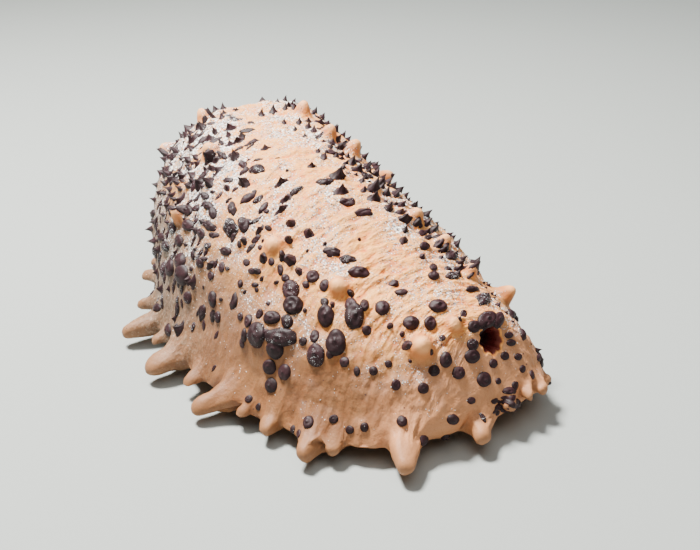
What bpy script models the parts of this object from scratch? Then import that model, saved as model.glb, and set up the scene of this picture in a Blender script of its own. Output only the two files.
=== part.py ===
"""A three-rowed sea cucumber at life size, drawn together and at rest, as a still museum model.

The body lies along Y, with the mouth under its -Y end, the vent at its +Y end and its back up.
The origin is on the floor under the middle of the model.
"""
import math
import random

import bpy
import bmesh
from mathutils import Vector

MM = 0.001
GAP = 0.35 * MM
SEED = 41

# One row for each ring of the body, from the mouth end to the vent end, in millimetres:
# share of the way, half width, back's y and z, belly's y and z, height share where it is widest.
RINGS = (
    (0.00, 11.0, -90.5, 13.5, -69.0, 13.5, 0.50),
    (0.06, 19.0, -102.5, 19.5, -64.5, 8.0, 0.46),
    (0.12, 24.5, -109.5, 29.2, -61.5, 5.0, 0.38),
    (0.19, 30.0, -109.0, 44.1, -59.0, 3.8, 0.28),
    (0.27, 35.0, -97.5, 59.5, -55.5, 3.8, 0.18),
    (0.36, 41.2, -74.5, 71.0, -48.5, 3.8, 0.09),
    (0.46, 46.6, -42.0, 75.2, -31.0, 3.8, 0.06),
    (0.56, 50.0, -12.0, 74.3, -6.5, 3.8, 0.05),
    (0.66, 51.0, 16.0, 68.0, 19.5, 3.8, 0.05),
    (0.76, 49.0, 39.5, 58.0, 46.0, 3.8, 0.05),
    (0.85, 43.5, 58.0, 48.5, 72.0, 3.8, 0.07),
    (0.92, 33.5, 69.0, 42.5, 88.0, 5.0, 0.14),
    (0.97, 19.0, 76.5, 38.5, 92.0, 13.5, 0.30),
    (1.00, 5.6, 80.3, 36.1, 85.3, 26.4, 0.50),
)
CENTRE_X = -2.8
CENTRE_Y = -7.18
UNDERSIDE_Z = 4.8
FRONT_BEND = 16.5
REAR_BEND = 18.5
FOOT_FLARE = 0.085
FRONT_LEAN = 16.0
FRONT_SHOULDER = 0.12
RIGHT_TUCK = 0.17
VENT_PLEATS = 9
VENT_PLEAT_DEPTH = 0.09
BODY_SIDES = 36

# Shares of the way along where the body is parted.
FRONT_CUT = 0.36
REAR_CUT = 0.666
VENT_CUT = 0.874

VENT_DEPTH = 6.3
VENT_STEPS = ((0.80, 0.6), (0.62, 3.0), (0.42, VENT_DEPTH))

MOUTH_RADIUS = 9.6
MOUTH_THICKNESS = 4.0
MOUTH_SIDES = 28
TENTACLES = 20
TENTACLE_ROOT_RING = 7.6
TENTACLE_STALK = 0.9
TENTACLE_SIDES = 8

SOLE_TOP_Z = UNDERSIDE_Z - 0.35
SOLE_BOTTOM_Z = 1.9
SOLE_FRONT_Y = -56.0
SOLE_REAR_Y = 82.0
SOLE_WIDTH = 0.74
SOLE_ROUNDNESS = 2.6
SOLE_SIDES = 36
FOOT_BANDS = (-0.66, 0.0, 0.66)
FEET_IN_BAND = 16
FOOT_PAD = 1.6
FOOT_NECK = 0.95

WART_SIDES = 7
WART_COUNT = 46
WART_ROOT = 1.6
# Height of a wart as a share of its radius: round dome, low dusty patch, sharp thorn.
WART_HEIGHTS = (0.85, 0.50, 1.45)

# Dark warts of the left side, back and rear: share, angle, half length and half width in
# millimetres, turn of the length from the body's own line, kind as in WART_HEIGHTS.
SEEN_WARTS = (
    (0.765, 30, 5.0, 2.9, 27, 0), (0.555, 24, 3.8, 3.5, 163, 0), (0.731, 26, 4.0, 3.4, 122, 0),
    (0.834, 39, 3.9, 3.1, 123, 0), (0.838, 52, 4.1, 2.9, 124, 0), (0.816, 31, 3.5, 2.9, 123, 0),
    (0.988, 98, 4.1, 2.4, 96, 0), (0.759, 42, 3.3, 2.9, 5, 0), (0.611, 48, 3.6, 2.6, 178, 1),
    (0.929, 113, 4.2, 2.2, 110, 1), (0.514, 22, 3.2, 2.9, 166, 0), (0.542, 27, 3.4, 2.7, 10, 0),
    (0.806, 46, 3.4, 2.6, 135, 0), (0.745, 46, 3.2, 2.7, 156, 0), (0.763, 25, 2.9, 2.8, 115, 0),
    (0.680, 104, 3.9, 2.0, 111, 2), (0.530, 37, 3.7, 2.0, 20, 0), (0.652, 93, 3.3, 2.1, 87, 2),
    (0.924, 76, 3.1, 2.2, 41, 0), (0.986, 126, 3.3, 2.0, 10, 0), (0.741, 34, 3.1, 2.1, 27, 0),
    (0.478, 25, 3.5, 1.9, 22, 0), (0.815, 116, 3.5, 1.8, 111, 0), (0.895, 143, 3.5, 1.8, 136, 0),
    (0.579, 69, 3.2, 2.0, 33, 1), (0.515, 40, 3.4, 1.8, 12, 0), (0.527, 52, 3.4, 1.8, 1, 2),
    (0.802, 68, 3.3, 1.9, 46, 0), (0.480, 18, 2.7, 2.3, 112, 0), (0.491, 32, 3.1, 1.9, 173, 0),
    (0.781, 19, 2.5, 2.3, 74, 0), (0.520, 31, 2.9, 2.0, 6, 0), (0.986, -56, 2.7, 2.2, 110, 0),
    (0.993, -6, 2.7, 2.1, 132, 0), (0.630, 25, 2.6, 2.2, 127, 0), (0.863, 61, 2.5, 2.2, 111, 0),
    (0.628, 52, 2.9, 1.9, 157, 0), (0.911, 60, 2.5, 2.2, 36, 0), (0.703, 99, 3.0, 1.8, 98, 2),
    (0.656, 86, 2.8, 1.9, 66, 1), (0.759, 18, 2.4, 2.2, 69, 0), (0.524, 65, 3.2, 1.7, 178, 2),
    (0.682, 88, 2.6, 2.0, 84, 2), (0.529, 4, 2.5, 2.1, 163, 0), (0.366, 26, 3.1, 1.6, 17, 0),
    (0.405, 60, 3.1, 1.6, 175, 2), (0.868, 104, 3.1, 1.6, 88, 0), (0.899, 111, 3.1, 1.6, 93, 1),
    (0.583, 62, 2.7, 1.8, 177, 2), (0.549, 129, 3.0, 1.6, 140, 2), (0.766, 12, 2.3, 2.1, 94, 0),
    (0.969, 30, 2.3, 2.0, 47, 0), (0.826, 55, 2.4, 1.9, 130, 0), (0.726, 89, 3.0, 1.6, 67, 1),
    (0.754, 67, 2.7, 1.7, 44, 1), (0.446, 25, 2.9, 1.5, 21, 0), (0.751, 103, 2.9, 1.5, 87, 2),
    (0.440, 94, 2.6, 1.7, 169, 2), (0.307, 42, 2.9, 1.5, 179, 2), (0.759, 55, 2.2, 2.0, 160, 0),
    (0.515, 128, 2.9, 1.5, 144, 2), (0.611, 117, 2.9, 1.5, 130, 2), (0.400, 20, 2.8, 1.5, 22, 2),
    (0.596, 53, 2.7, 1.6, 160, 1), (0.615, 108, 2.8, 1.5, 131, 2), (0.719, 54, 2.2, 1.9, 158, 2),
    (0.701, 87, 2.8, 1.5, 67, 1), (0.575, 19, 2.1, 1.9, 102, 0), (0.981, 2, 2.2, 1.9, 134, 0),
    (0.988, 67, 2.2, 1.9, 26, 0), (0.934, 63, 2.2, 1.9, 75, 0), (0.469, 5, 2.8, 1.5, 22, 0),
    (0.777, 69, 2.6, 1.5, 47, 1), (0.480, -1, 2.8, 1.5, 35, 0), (0.721, 122, 2.8, 1.5, 121, 2),
    (0.427, 121, 2.8, 1.5, 152, 2), (0.378, 47, 2.8, 1.5, 5, 2), (0.682, 115, 2.8, 1.5, 116, 2),
    (0.766, 131, 2.8, 1.5, 126, 2), (0.555, 47, 2.8, 1.4, 21, 0), (0.446, 122, 2.7, 1.4, 151, 2),
    (0.304, 44, 2.7, 1.4, 177, 2), (0.568, 39, 2.4, 1.6, 8, 0), (0.764, 36, 2.2, 1.8, 137, 0),
    (0.688, 109, 2.7, 1.4, 113, 2), (0.395, 40, 2.7, 1.4, 11, 2), (0.749, 116, 2.7, 1.4, 117, 2),
)

PAPILLA_SIDES = 7
# Large blunt papillae along the left margin: share, angle, length, root radius, turn to the rear.
LEFT_PAPILLAE = (
    (0.150, -4, 6.0, 3.0, -30), (0.205, -2, 7.5, 3.4, -25), (0.262, 0, 8.5, 4.0, -22),
    (0.310, 0, 9.0, 3.8, -12), (0.386, 0, 7.0, 3.4, -10), (0.462, -2, 14.0, 5.4, 8),
    (0.512, 0, 5.0, 3.2, 0), (0.572, -2, 13.0, 6.0, 6), (0.632, 0, 6.0, 3.6, 4),
    (0.700, -2, 13.0, 5.2, -20), (0.738, 0, 4.0, 3.2, 0), (0.776, -2, 5.5, 3.8, 10),
    (0.832, -4, 9.5, 5.0, 8), (0.862, -8, 4.5, 3.4, 5),
)
# Papillae round the vent end, where the margin turns across.
REAR_PAPILLAE = (
    (0.912, -22, 12.5, 5.4, -20), (0.944, -74, 8.5, 4.4, -22), (0.964, -98, 3.0, 3.0, 30),
    (0.962, -132, 4.5, 3.2, 30), (0.952, -152, 4.5, 3.2, 20), (0.930, -170, 3.0, 3.0, 0),
    (0.850, 182, 4.5, 3.6, 0),
)
RIGHT_PAPILLA_SHARES = (0.15, 0.21, 0.258, 0.312, 0.405, 0.46, 0.515, 0.57, 0.625, 0.73, 0.785)
RIGHT_PAPILLA_LENGTHS = (6.0, 14.0)

# Soft pale mounds on the back and flanks: share, angle, root radius, height.
MOUNDS = (
    (0.938, 46, 5.2, 4.4), (0.962, 66, 4.0, 2.6), (0.848, 145, 4.4, 5.0), (0.798, 58, 4.4, 3.2),
    (0.680, 54, 4.6, 3.4), (0.482, 58, 4.6, 4.0), (0.500, 37, 4.4, 3.8), (0.380, 63, 3.8, 4.4),
    (0.464, 107, 3.8, 5.0), (0.538, 110, 3.8, 4.2), (0.562, 119, 4.2, 4.4), (0.568, 138, 4.6, 4.8),
    (0.744, 110, 4.2, 4.2), (0.790, 116, 4.0, 3.4), (0.856, 121, 3.6, 3.0), (0.300, 46, 4.6, 4.2),
    (0.300, 132, 4.6, 4.2), (0.210, 60, 4.2, 3.6), (0.210, 122, 4.2, 3.6), (0.410, 142, 4.4, 4.0),
    (0.660, 152, 4.6, 4.4),
)

SKIN = ("sandy_peach_skin", (0.62, 0.33, 0.17), 0.62)
SKIN_MIDDLE = ("sandy_peach_skin_middle", (0.60, 0.31, 0.16), 0.62)
SKIN_REAR = ("peach_skin_rear", (0.64, 0.33, 0.16), 0.58)
VENT_SKIN = ("vent_skin", (0.58, 0.26, 0.13), 0.50)
SOLE_SKIN = ("sole_skin", (0.66, 0.44, 0.30), 0.60)
MOUTH_SKIN = ("mouth_skin", (0.42, 0.22, 0.14), 0.50)
TENTACLE_SKIN = ("tentacle_skin", (0.16, 0.10, 0.08), 0.55)


def clear_scene():
    for item in list(bpy.data.objects):
        bpy.data.objects.remove(item, do_unlink=True)


def make_material(finish):
    name, colour, roughness = finish
    material = bpy.data.materials.new(name)
    material.use_nodes = True
    shader = material.node_tree.nodes["Principled BSDF"]
    shader.inputs["Base Color"].default_value = (*colour, 1.0)
    shader.inputs["Roughness"].default_value = roughness
    shader.inputs["Metallic"].default_value = 0.0
    material.diffuse_color = (*colour, 1.0)
    return material


def ring_slopes():
    """Slope of each column at each ring, for a smooth curve through the rings."""
    slopes = []
    for i, row in enumerate(RINGS):
        before = RINGS[max(i - 1, 0)]
        after = RINGS[min(i + 1, len(RINGS) - 1)]
        near = row[0] - before[0]
        far = after[0] - row[0]
        line = []
        for column in range(1, len(row)):
            back = (row[column] - before[column]) / near if near else None
            ahead = (after[column] - row[column]) / far if far else None
            if back is None:
                line.append(ahead)
            elif ahead is None:
                line.append(back)
            else:
                line.append((back * far + ahead * near) / (near + far))
        slopes.append(line)
    return slopes


SLOPES = ring_slopes()


def ring_at(share):
    """Half width, back y and z, belly y and z and waist of the ring at this share."""
    k = 0
    while k < len(RINGS) - 2 and share > RINGS[k + 1][0]:
        k += 1
    first, last = RINGS[k], RINGS[k + 1]
    span = last[0] - first[0]
    t = (share - first[0]) / span
    h00 = (1 + 2 * t) * (1 - t) ** 2
    h10 = t * (1 - t) ** 2
    h01 = t * t * (3 - 2 * t)
    h11 = t * t * (t - 1)
    return [h00 * first[c + 1] + h10 * span * SLOPES[k][c] + h01 * last[c + 1] + h11 * span * SLOPES[k + 1][c]
            for c in range(6)]


def eased(low, high, value):
    """Smooth rise from 0 at low to 1 at high."""
    t = min(max((value - low) / (high - low), 0.0), 1.0)
    return t * t * (3 - 2 * t)


def body_bend(share):
    """Sideways curve of the body, as its two ends swing to the right."""
    rear = max(0.0, (share - 0.4) / 0.6)
    front = max(0.0, (0.6 - share) / 0.6)
    return -REAR_BEND * rear ** 2.6 - FRONT_BEND * front ** 1.6


def skin_point(share, degrees):
    """Point of the body's surface; 0 degrees is the left side, 90 the back, 180 the right side.

    The back of the front half leans to the right and has square shoulders, and the right flank is
    tucked in near the vent.
    """
    half_width, back_y, back_z, belly_y, belly_z, waist = ring_at(share)
    turn = math.radians(degrees)
    pleat = 1 + VENT_PLEAT_DEPTH * min(max((share - 0.95) / 0.05, 0.0), 1.0) * math.cos(VENT_PLEATS * turn)
    front = eased(0.04, 0.26, share) * eased(0.66, 0.36, share) if math.sin(turn) > 0 else 0.0
    spread = pleat * (1 + FRONT_SHOULDER * front * math.sin(2 * turn) ** 2)
    across, up = spread * math.cos(turn), spread * math.sin(turn)
    height = waist + (1 - waist) * up if up >= 0 else waist + waist * up
    lowest = (UNDERSIDE_Z - belly_z) / max(back_z - belly_z, 1.0)
    height = max(height, lowest)
    ends = min(max(min(share - 0.05, 0.97 - share) / 0.12, 0.0), 1.0)
    flare = 1 + FOOT_FLARE * ends * math.exp(-(height / 0.17) ** 2)
    tuck = 1 - RIGHT_TUCK * eased(0.70, 0.92, share) * eased(0.1, -0.5, across)
    lean = FRONT_LEAN * eased(0.0, 0.24, share) * eased(0.64, 0.32, share) * height ** 2
    x = half_width * across * flare * tuck + body_bend(share) - lean - CENTRE_X
    y = belly_y + (back_y - belly_y) * height - CENTRE_Y
    z = belly_z + (back_z - belly_z) * height
    return Vector((x, y, z)) * MM


def skin_frame(share, degrees):
    """Surface point, outward normal and direction towards the vent."""
    step = 0.004
    ahead = skin_point(min(share + step, 1.0), degrees)
    behind = skin_point(max(share - step, 0.0), degrees)
    along = (ahead - behind).normalized()
    around = skin_point(share, degrees + 1.0) - skin_point(share, degrees - 1.0)
    normal = along.cross(around).normalized()
    return skin_point(share, degrees), normal, along


def distance_past_cut(point, share):
    """How far a point lies behind the plane of a ring, measured square to that plane."""
    back, belly = ring_plane(share)
    rail = (back - belly).normalized()
    square = Vector((0.0, rail.z, -rail.y))
    return (point - belly).dot(square)


def ring_plane(share):
    values = ring_at(share)
    back = Vector((0.0, values[1] - CENTRE_Y, values[2])) * MM
    belly = Vector((0.0, values[3] - CENTRE_Y, values[4])) * MM
    return back, belly


def new_object(name, bm, finish):
    bmesh.ops.triangulate(bm, faces=[f for f in bm.faces if len(f.verts) > 4])
    mesh = bpy.data.meshes.new(name)
    bm.to_mesh(mesh)
    bm.free()
    mesh.shade_smooth()
    item = bpy.data.objects.new(name, mesh)
    bpy.context.scene.collection.objects.link(item)
    if finish:
        item.data.materials.append(make_material(finish))
    return item


def stack_of_rings(bm, rings, tip=None):
    """Closed body over rings of points from root to end, with a point or a flat face at the end."""
    loops = [[bm.verts.new(p) for p in ring] for ring in rings]
    for lower, upper in zip(loops, loops[1:]):
        count = len(lower)
        for i in range(count):
            j = (i + 1) % count
            bm.faces.new((lower[i], lower[j], upper[j], upper[i]))
    bm.faces.new(list(reversed(loops[0])))
    if tip is None:
        bm.faces.new(loops[-1])
    else:
        top = bm.verts.new(tip)
        count = len(loops[-1])
        for i in range(count):
            bm.faces.new((loops[-1][i], loops[-1][(i + 1) % count], top))


def face_out(bm):
    bmesh.ops.recalc_face_normals(bm, faces=bm.faces)


def ring_about(centre, normal, side, radius, sides, spin=0.0, stretch=1.0):
    """Points of a ring round a centre; side is stretched by the given factor."""
    other = normal.cross(side).normalized()
    points = []
    for i in range(sides):
        turn = spin + math.tau * i / sides
        points.append(centre + side * (radius * stretch * math.cos(turn)) + other * (radius * math.sin(turn)))
    return points


def bump(name, root, normal, side, profile, tip_height, sides, stretch=1.0, lean=None):
    """Turned bump on the skin: profile rows are radius and height, in metres; lean moves its tip."""
    bm = bmesh.new()
    lean = lean or Vector((0.0, 0.0, 0.0))
    rings = []
    for radius, height in profile:
        centre = root + normal * height + lean * max(height / tip_height, 0.0) ** 1.5
        rings.append(ring_about(centre, normal, side, radius, sides, 0.0, stretch))
    stack_of_rings(bm, rings, root + normal * tip_height + lean)
    face_out(bm)
    return new_object(name, bm, None)


def wart(name, row, draw):
    """Dark wart: a flared oval foot with a dome, a low patch or a sharp thorn on it."""
    share, degrees, long, wide, turn, kind = row
    root, normal, along = skin_frame(share, degrees)
    around = normal.cross(along).normalized()
    side = along * math.cos(math.radians(turn)) + around * math.sin(math.radians(turn))
    height = math.sqrt(long * wide) * WART_HEIGHTS[kind] * draw.uniform(0.9, 1.1) * MM
    r = wide * MM
    waist = (0.66, 0.60, 0.42)[kind]
    profile = ((r * 0.95, -WART_ROOT * MM), (r, 0.12 * height), (r * waist, 0.56 * height))
    return bump(name, root, normal, side, profile, height, WART_SIDES, long / wide)


def papilla(name, share, degrees, length, radius, turn=0.0):
    """Blunt finger that stands out from the margin and droops a little."""
    root, normal, _ = skin_frame(share, degrees)
    out = Vector((normal.x, normal.y, 0.0)).normalized()
    swing = math.radians(turn)
    side_sign = 1.0 if out.x > 0 else -1.0
    out = Vector((out.x * math.cos(swing) - out.y * math.sin(swing) * side_sign,
                  out.y * math.cos(swing) + out.x * math.sin(swing) * side_sign, 0.0)).normalized()
    up = Vector((0.0, 0.0, 1.0))
    side = up.cross(out).normalized()
    r = radius * MM
    lifted = Vector((root.x, root.y, max(root.z, 0.9 * r + 2.4 * MM)))
    long = length * MM
    profile = ((r, -4.0 * MM), (r, 0.03 * long), (r * 0.76, 0.38 * long), (r * 0.62, 0.76 * long),
               (r * 0.38, 0.95 * long))
    droop = min(0.14 * long, max(lifted.z - 0.5 * r - 1.6 * MM, 0.0))
    return bump(name, lifted, out, side, profile, long, PAPILLA_SIDES, 1.0, up * -droop)


def mound(name, share, degrees, radius, height):
    root, normal, along = skin_frame(share, degrees)
    r, h = radius * MM, height * MM
    profile = ((r * 1.05, -2.0 * MM), (r, 0.08 * h), (r * 0.62, 0.62 * h), (r * 0.26, 0.92 * h))
    return bump(name, root, normal, along, profile, h, 8)


def keeps_clear(share, degrees, reach):
    """True where a bump of this reach in millimetres stays clear of every cut."""
    point = skin_point(share, degrees)
    cuts = (FRONT_CUT, REAR_CUT, VENT_CUT)
    return all(abs(distance_past_cut(point, cut)) > (reach + 0.6) * MM for cut in cuts)


def moved_clear(share, degrees, reach):
    """The nearest share at which the bump stays clear of every cut."""
    for step in range(60):
        for sign in (1, -1):
            tried = share + sign * step * 0.002
            if keeps_clear(tried, degrees, reach):
                return tried
    return share


def node_of(share):
    if share < FRONT_CUT:
        return "body_front"
    if share < REAR_CUT:
        return "body_middle"
    return "body_rear" if share < VENT_CUT else "vent"


def wart_weight(share, degrees):
    """How thickly warts stand: two dark bands beside the back, few on the midline and low down."""
    angle = degrees if degrees <= 90 else 180 - degrees
    band = math.exp(-((angle - 50) / 17) ** 2)
    flank = 0.45 * math.exp(-((angle - 22) / 14) ** 2)
    middle = 0.22
    low = 0.16 if angle < 10 else 0.0
    ends = min(1.0, max(share - 0.02, 0.0) / 0.12)
    return (band + flank + middle * (angle > 62) + low) * ends


def surface_gap(a, b):
    return (skin_point(a[0], a[1]) - skin_point(b[0], b[1])).length / MM


def reach_along(long, wide, turn):
    """How far an oval wart reaches along the body from its middle."""
    swing = math.radians(turn)
    return math.hypot(long * math.cos(swing), wide * math.sin(swing))


def choose_warts():
    """Seen warts first, then a seeded scatter over the front and the right side."""
    draw = random.Random(SEED)
    chosen = []
    for share, angle, long, wide, turn, kind in SEEN_WARTS:
        clear_share = moved_clear(share, angle, reach_along(long, wide, turn))
        chosen.append((clear_share, angle, long, wide, turn, kind))
    mounds = [(s, a, r) for s, a, r, _ in MOUNDS]
    tries = 0
    while len(chosen) < len(SEEN_WARTS) + WART_COUNT and tries < 6000:
        tries += 1
        share = draw.uniform(0.06, 0.97)
        angle = draw.uniform(2, 178)
        radius = 1.7 + 1.3 * draw.random() ** 1.6
        stretch = draw.uniform(1.05, 1.75)
        turn = draw.uniform(60, 120)
        if draw.random() > wart_weight(share, angle) or (share > 0.40 and angle < 124):
            continue
        long, wide = radius * stretch ** 0.5, radius / stretch ** 0.5
        if not keeps_clear(share, angle, reach_along(long, wide, turn)):
            continue
        spot = (share, angle)
        if any(surface_gap(spot, other) < 1.3 * (long + other[2]) + 0.8 for other in chosen + mounds):
            continue
        kind = 2 if 40 < angle < 140 else 0
        chosen.append((share, angle, long, wide, turn, kind))
    return chosen


def choose_papillae():
    """All marginal papillae: share, angle, length, radius, turn."""
    draw = random.Random(SEED + 1)
    chosen = list(LEFT_PAPILLAE + REAR_PAPILLAE)
    for i, share in enumerate(RIGHT_PAPILLA_SHARES):
        low, high = RIGHT_PAPILLA_LENGTHS
        length = (high if i % 2 else low) * draw.uniform(0.85, 1.1)
        radius = 2.2 + 0.26 * length
        chosen.append((share, 182, length, radius, draw.uniform(-15, 15)))
    return [(moved_clear(s, a, r + 0.05 * n * abs(t) ** 0.5), a, n, r, t) for s, a, n, r, t in chosen]


def body_slice(first, last, ring_count):
    """Rings of the body between two shares, leaving half of the gap at a cut."""
    half_gap = 0.5 * GAP
    ends = []
    for share, sign in ((first, 1), (last, -1)):
        if share in (0.0, 1.0):
            ends.append(share)
            continue
        trial = share
        for _ in range(200):
            trial += sign * 0.00005
            back, belly = ring_plane(trial)
            if min(abs(distance_past_cut(back, share)), abs(distance_past_cut(belly, share))) >= half_gap:
                break
        ends.append(trial)
    rings = []
    for i in range(ring_count + 1):
        share = ends[0] + (ends[1] - ends[0]) * i / ring_count
        rings.append([skin_point(share, 360.0 * k / BODY_SIDES) for k in range(BODY_SIDES)])
    return rings


def vent_pocket():
    """Rings that line the open vent, from its rim to its floor."""
    rim = [skin_point(1.0, 360.0 * k / BODY_SIDES) for k in range(BODY_SIDES)]
    centre = sum(rim, Vector()) / BODY_SIDES
    back, belly = ring_plane(1.0)
    rail = (back - belly).normalized()
    inward = Vector((0.0, -rail.z, rail.y))
    rings = []
    for scale, depth in VENT_STEPS:
        rings.append([centre + (p - centre) * scale + inward * (depth * MM) for p in rim])
    return rings


def join_to(core, pieces):
    """One closed body from the core and all its bumps."""
    group = bpy.data.collections.new(core.name + "_bumps")
    bpy.context.scene.collection.children.link(group)
    for piece in pieces:
        bpy.context.scene.collection.objects.unlink(piece)
        group.objects.link(piece)
    union = core.modifiers.new("union", "BOOLEAN")
    union.operation = "UNION"
    union.operand_type = "COLLECTION"
    union.collection = group
    union.solver = "EXACT"
    graph = bpy.context.evaluated_depsgraph_get()
    joined = bpy.data.meshes.new_from_object(core.evaluated_get(graph))
    core.modifiers.remove(union)
    finish = core.data.materials[0]
    core.data = joined
    core.data.materials.clear()
    core.data.materials.append(finish)
    for piece in pieces:
        bpy.data.objects.remove(piece, do_unlink=True)
    bpy.data.collections.remove(group)
    keep_largest(core)


def keep_largest(item):
    """Keeps the largest closed surface of a mesh and drops scraps and sealed hollows."""
    bm = bmesh.new()
    bm.from_mesh(item.data)
    bmesh.ops.triangulate(bm, faces=bm.faces)
    unseen = set(bm.faces)
    shells = []
    while unseen:
        stack = [unseen.pop()]
        shell = []
        while stack:
            face = stack.pop()
            shell.append(face)
            for edge in face.edges:
                for other in edge.link_faces:
                    if other in unseen:
                        unseen.remove(other)
                        stack.append(other)
        shells.append(shell)
    shells.sort(key=len)
    loose = [face for shell in shells[:-1] for face in shell]
    bmesh.ops.delete(bm, geom=loose, context="FACES")
    bm.to_mesh(item.data)
    bm.free()
    item.data.shade_smooth()


def make_body():
    slices = (
        ("body_front", 0.0, FRONT_CUT, 9, SKIN),
        ("body_middle", FRONT_CUT, REAR_CUT, 7, SKIN_MIDDLE),
        ("body_rear", REAR_CUT, VENT_CUT, 6, SKIN_REAR),
        ("vent", VENT_CUT, 1.0, 6, VENT_SKIN),
    )
    draw = random.Random(SEED + 2)
    bumps = {row[0]: [] for row in slices}
    for i, row in enumerate(choose_warts()):
        bumps[node_of(row[0])].append(wart(f"wart_{i}", row, draw))
    for i, (share, angle, length, radius, turn) in enumerate(choose_papillae()):
        bumps[node_of(share)].append(papilla(f"papilla_{i}", share, angle, length, radius, turn))
    for i, (share, angle, radius, height) in enumerate(MOUNDS):
        share = moved_clear(share, angle, radius)
        bumps[node_of(share)].append(mound(f"mound_{i}", share, angle, radius, height))
    for name, first, last, ring_count, finish in slices:
        bm = bmesh.new()
        rings = body_slice(first, last, ring_count)
        if name == "vent":
            rings += vent_pocket()
        stack_of_rings(bm, rings)
        face_out(bm)
        core = new_object(name, bm, finish)
        join_to(core, bumps[name])


def mouth_centre():
    values = ring_at(0.0)
    middle_y = 0.5 * (values[1] + values[3]) - CENTRE_Y
    return Vector((body_bend(0.0) - CENTRE_X, middle_y, values[2])) * MM


def make_mouth():
    """Turned disc in the seat under the front end, with the mouth as a pit in its middle."""
    seat = mouth_centre()
    top = -GAP
    low = top - MOUTH_THICKNESS * MM
    r = MOUTH_RADIUS * MM
    pit = 2.5 * MM
    profile = ((r * 0.97, top), (r, top - 1.4 * MM), (r * 0.93, low), (pit * 1.5, low), (pit, low + 0.7 * MM),
               (pit * 0.6, low + 2.2 * MM))
    bm = bmesh.new()
    rings = []
    for radius, height in profile:
        centre = seat + Vector((0.0, 0.0, height))
        rings.append(ring_about(centre, Vector((0, 0, 1)), Vector((1, 0, 0)), radius, MOUTH_SIDES))
    stack_of_rings(bm, rings)
    face_out(bm)
    new_object("mouth", bm, MOUTH_SKIN)


def make_tentacle(number):
    """Short arched stalk with a lobed shield at its end, one of a ring round the mouth."""
    turn = math.tau * (number + 0.5) / TENTACLES
    out = Vector((math.sin(turn), -math.cos(turn), 0.0))
    forward = math.cos(turn)
    is_long = number % 2 == 0
    reach = (17.0 if is_long else 12.0) * (1 + 0.42 * max(forward, 0.0) - 0.26 * max(-forward, 0.0))
    shield = (2.9 if is_long else 2.2) * MM
    seat = mouth_centre()
    root_z = seat.z - GAP - MOUTH_THICKNESS * MM - GAP
    shield_z = 1.9 * MM
    root = TENTACLE_ROOT_RING * MM
    far = reach * MM
    path = ((root, root_z), (root + 0.8 * MM, root_z - 2.4 * MM), (far, 5.4 * MM), (far, shield_z))
    bm = bmesh.new()
    rings = []
    steps = ((0.0, TENTACLE_STALK), (0.35, TENTACLE_STALK * 0.95), (0.8, TENTACLE_STALK * 0.9))
    for t, radius in steps:
        weights = ((1 - t) ** 3, 3 * t * (1 - t) ** 2, 3 * t * t * (1 - t), t ** 3)
        inner = 6 * t * (1 - t)
        slopes = (-3 * (1 - t) ** 2, 3 * (1 - t) ** 2 - inner, inner - 3 * t * t, 3 * t * t)
        reach_t = sum(w * p[0] for w, p in zip(weights, path))
        z_t = sum(w * p[1] for w, p in zip(weights, path))
        heading = out * sum(w * p[0] for w, p in zip(slopes, path))
        heading += Vector((0, 0, 1)) * sum(w * p[1] for w, p in zip(slopes, path))
        heading = Vector((0, 0, -1)) if t == 0.0 else heading.normalized()
        side = Vector((0, 0, 1)).cross(out).normalized()
        centre = Vector((seat.x, seat.y, 0.0)) + out * reach_t + Vector((0, 0, z_t))
        rings.append(ring_about(centre, heading, side, radius * MM, TENTACLE_SIDES))
    centre = Vector((seat.x, seat.y, shield_z)) + out * far
    side = Vector((0, 0, 1)).cross(out).normalized()
    rim = ring_about(centre, Vector((0, 0, -1)), side, shield, TENTACLE_SIDES)
    rings.append([centre + (p - centre) * (1.0 if i % 2 else 0.72) for i, p in enumerate(rim)])
    stack_of_rings(bm, rings, centre + Vector((0, 0, -1.0 * MM)))
    face_out(bm)
    new_object(f"tentacle_{number + 1:02d}", bm, TENTACLE_SKIN)


def share_over(belly_y):
    """Share of the way along at which the belly stands over this y, in millimetres."""
    low, high = 0.0, 0.97
    for _ in range(40):
        middle = 0.5 * (low + high)
        if ring_at(middle)[3] < belly_y:
            low = middle
        else:
            high = middle
    return low


def sole_spot(along, across):
    """Point over the floor, from -1 at the sole's front to 1 at its rear and -1 to 1 across it."""
    y = 0.5 * (SOLE_FRONT_Y + SOLE_REAR_Y) + 0.5 * (SOLE_REAR_Y - SOLE_FRONT_Y) * along
    share = share_over(y)
    x = body_bend(share) + across * SOLE_WIDTH * ring_at(share)[0]
    return Vector((x - CENTRE_X, y - CENTRE_Y, 0.0)) * MM


def rounded(value):
    return math.copysign(abs(value) ** (2 / SOLE_ROUNDNESS), value)


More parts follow.
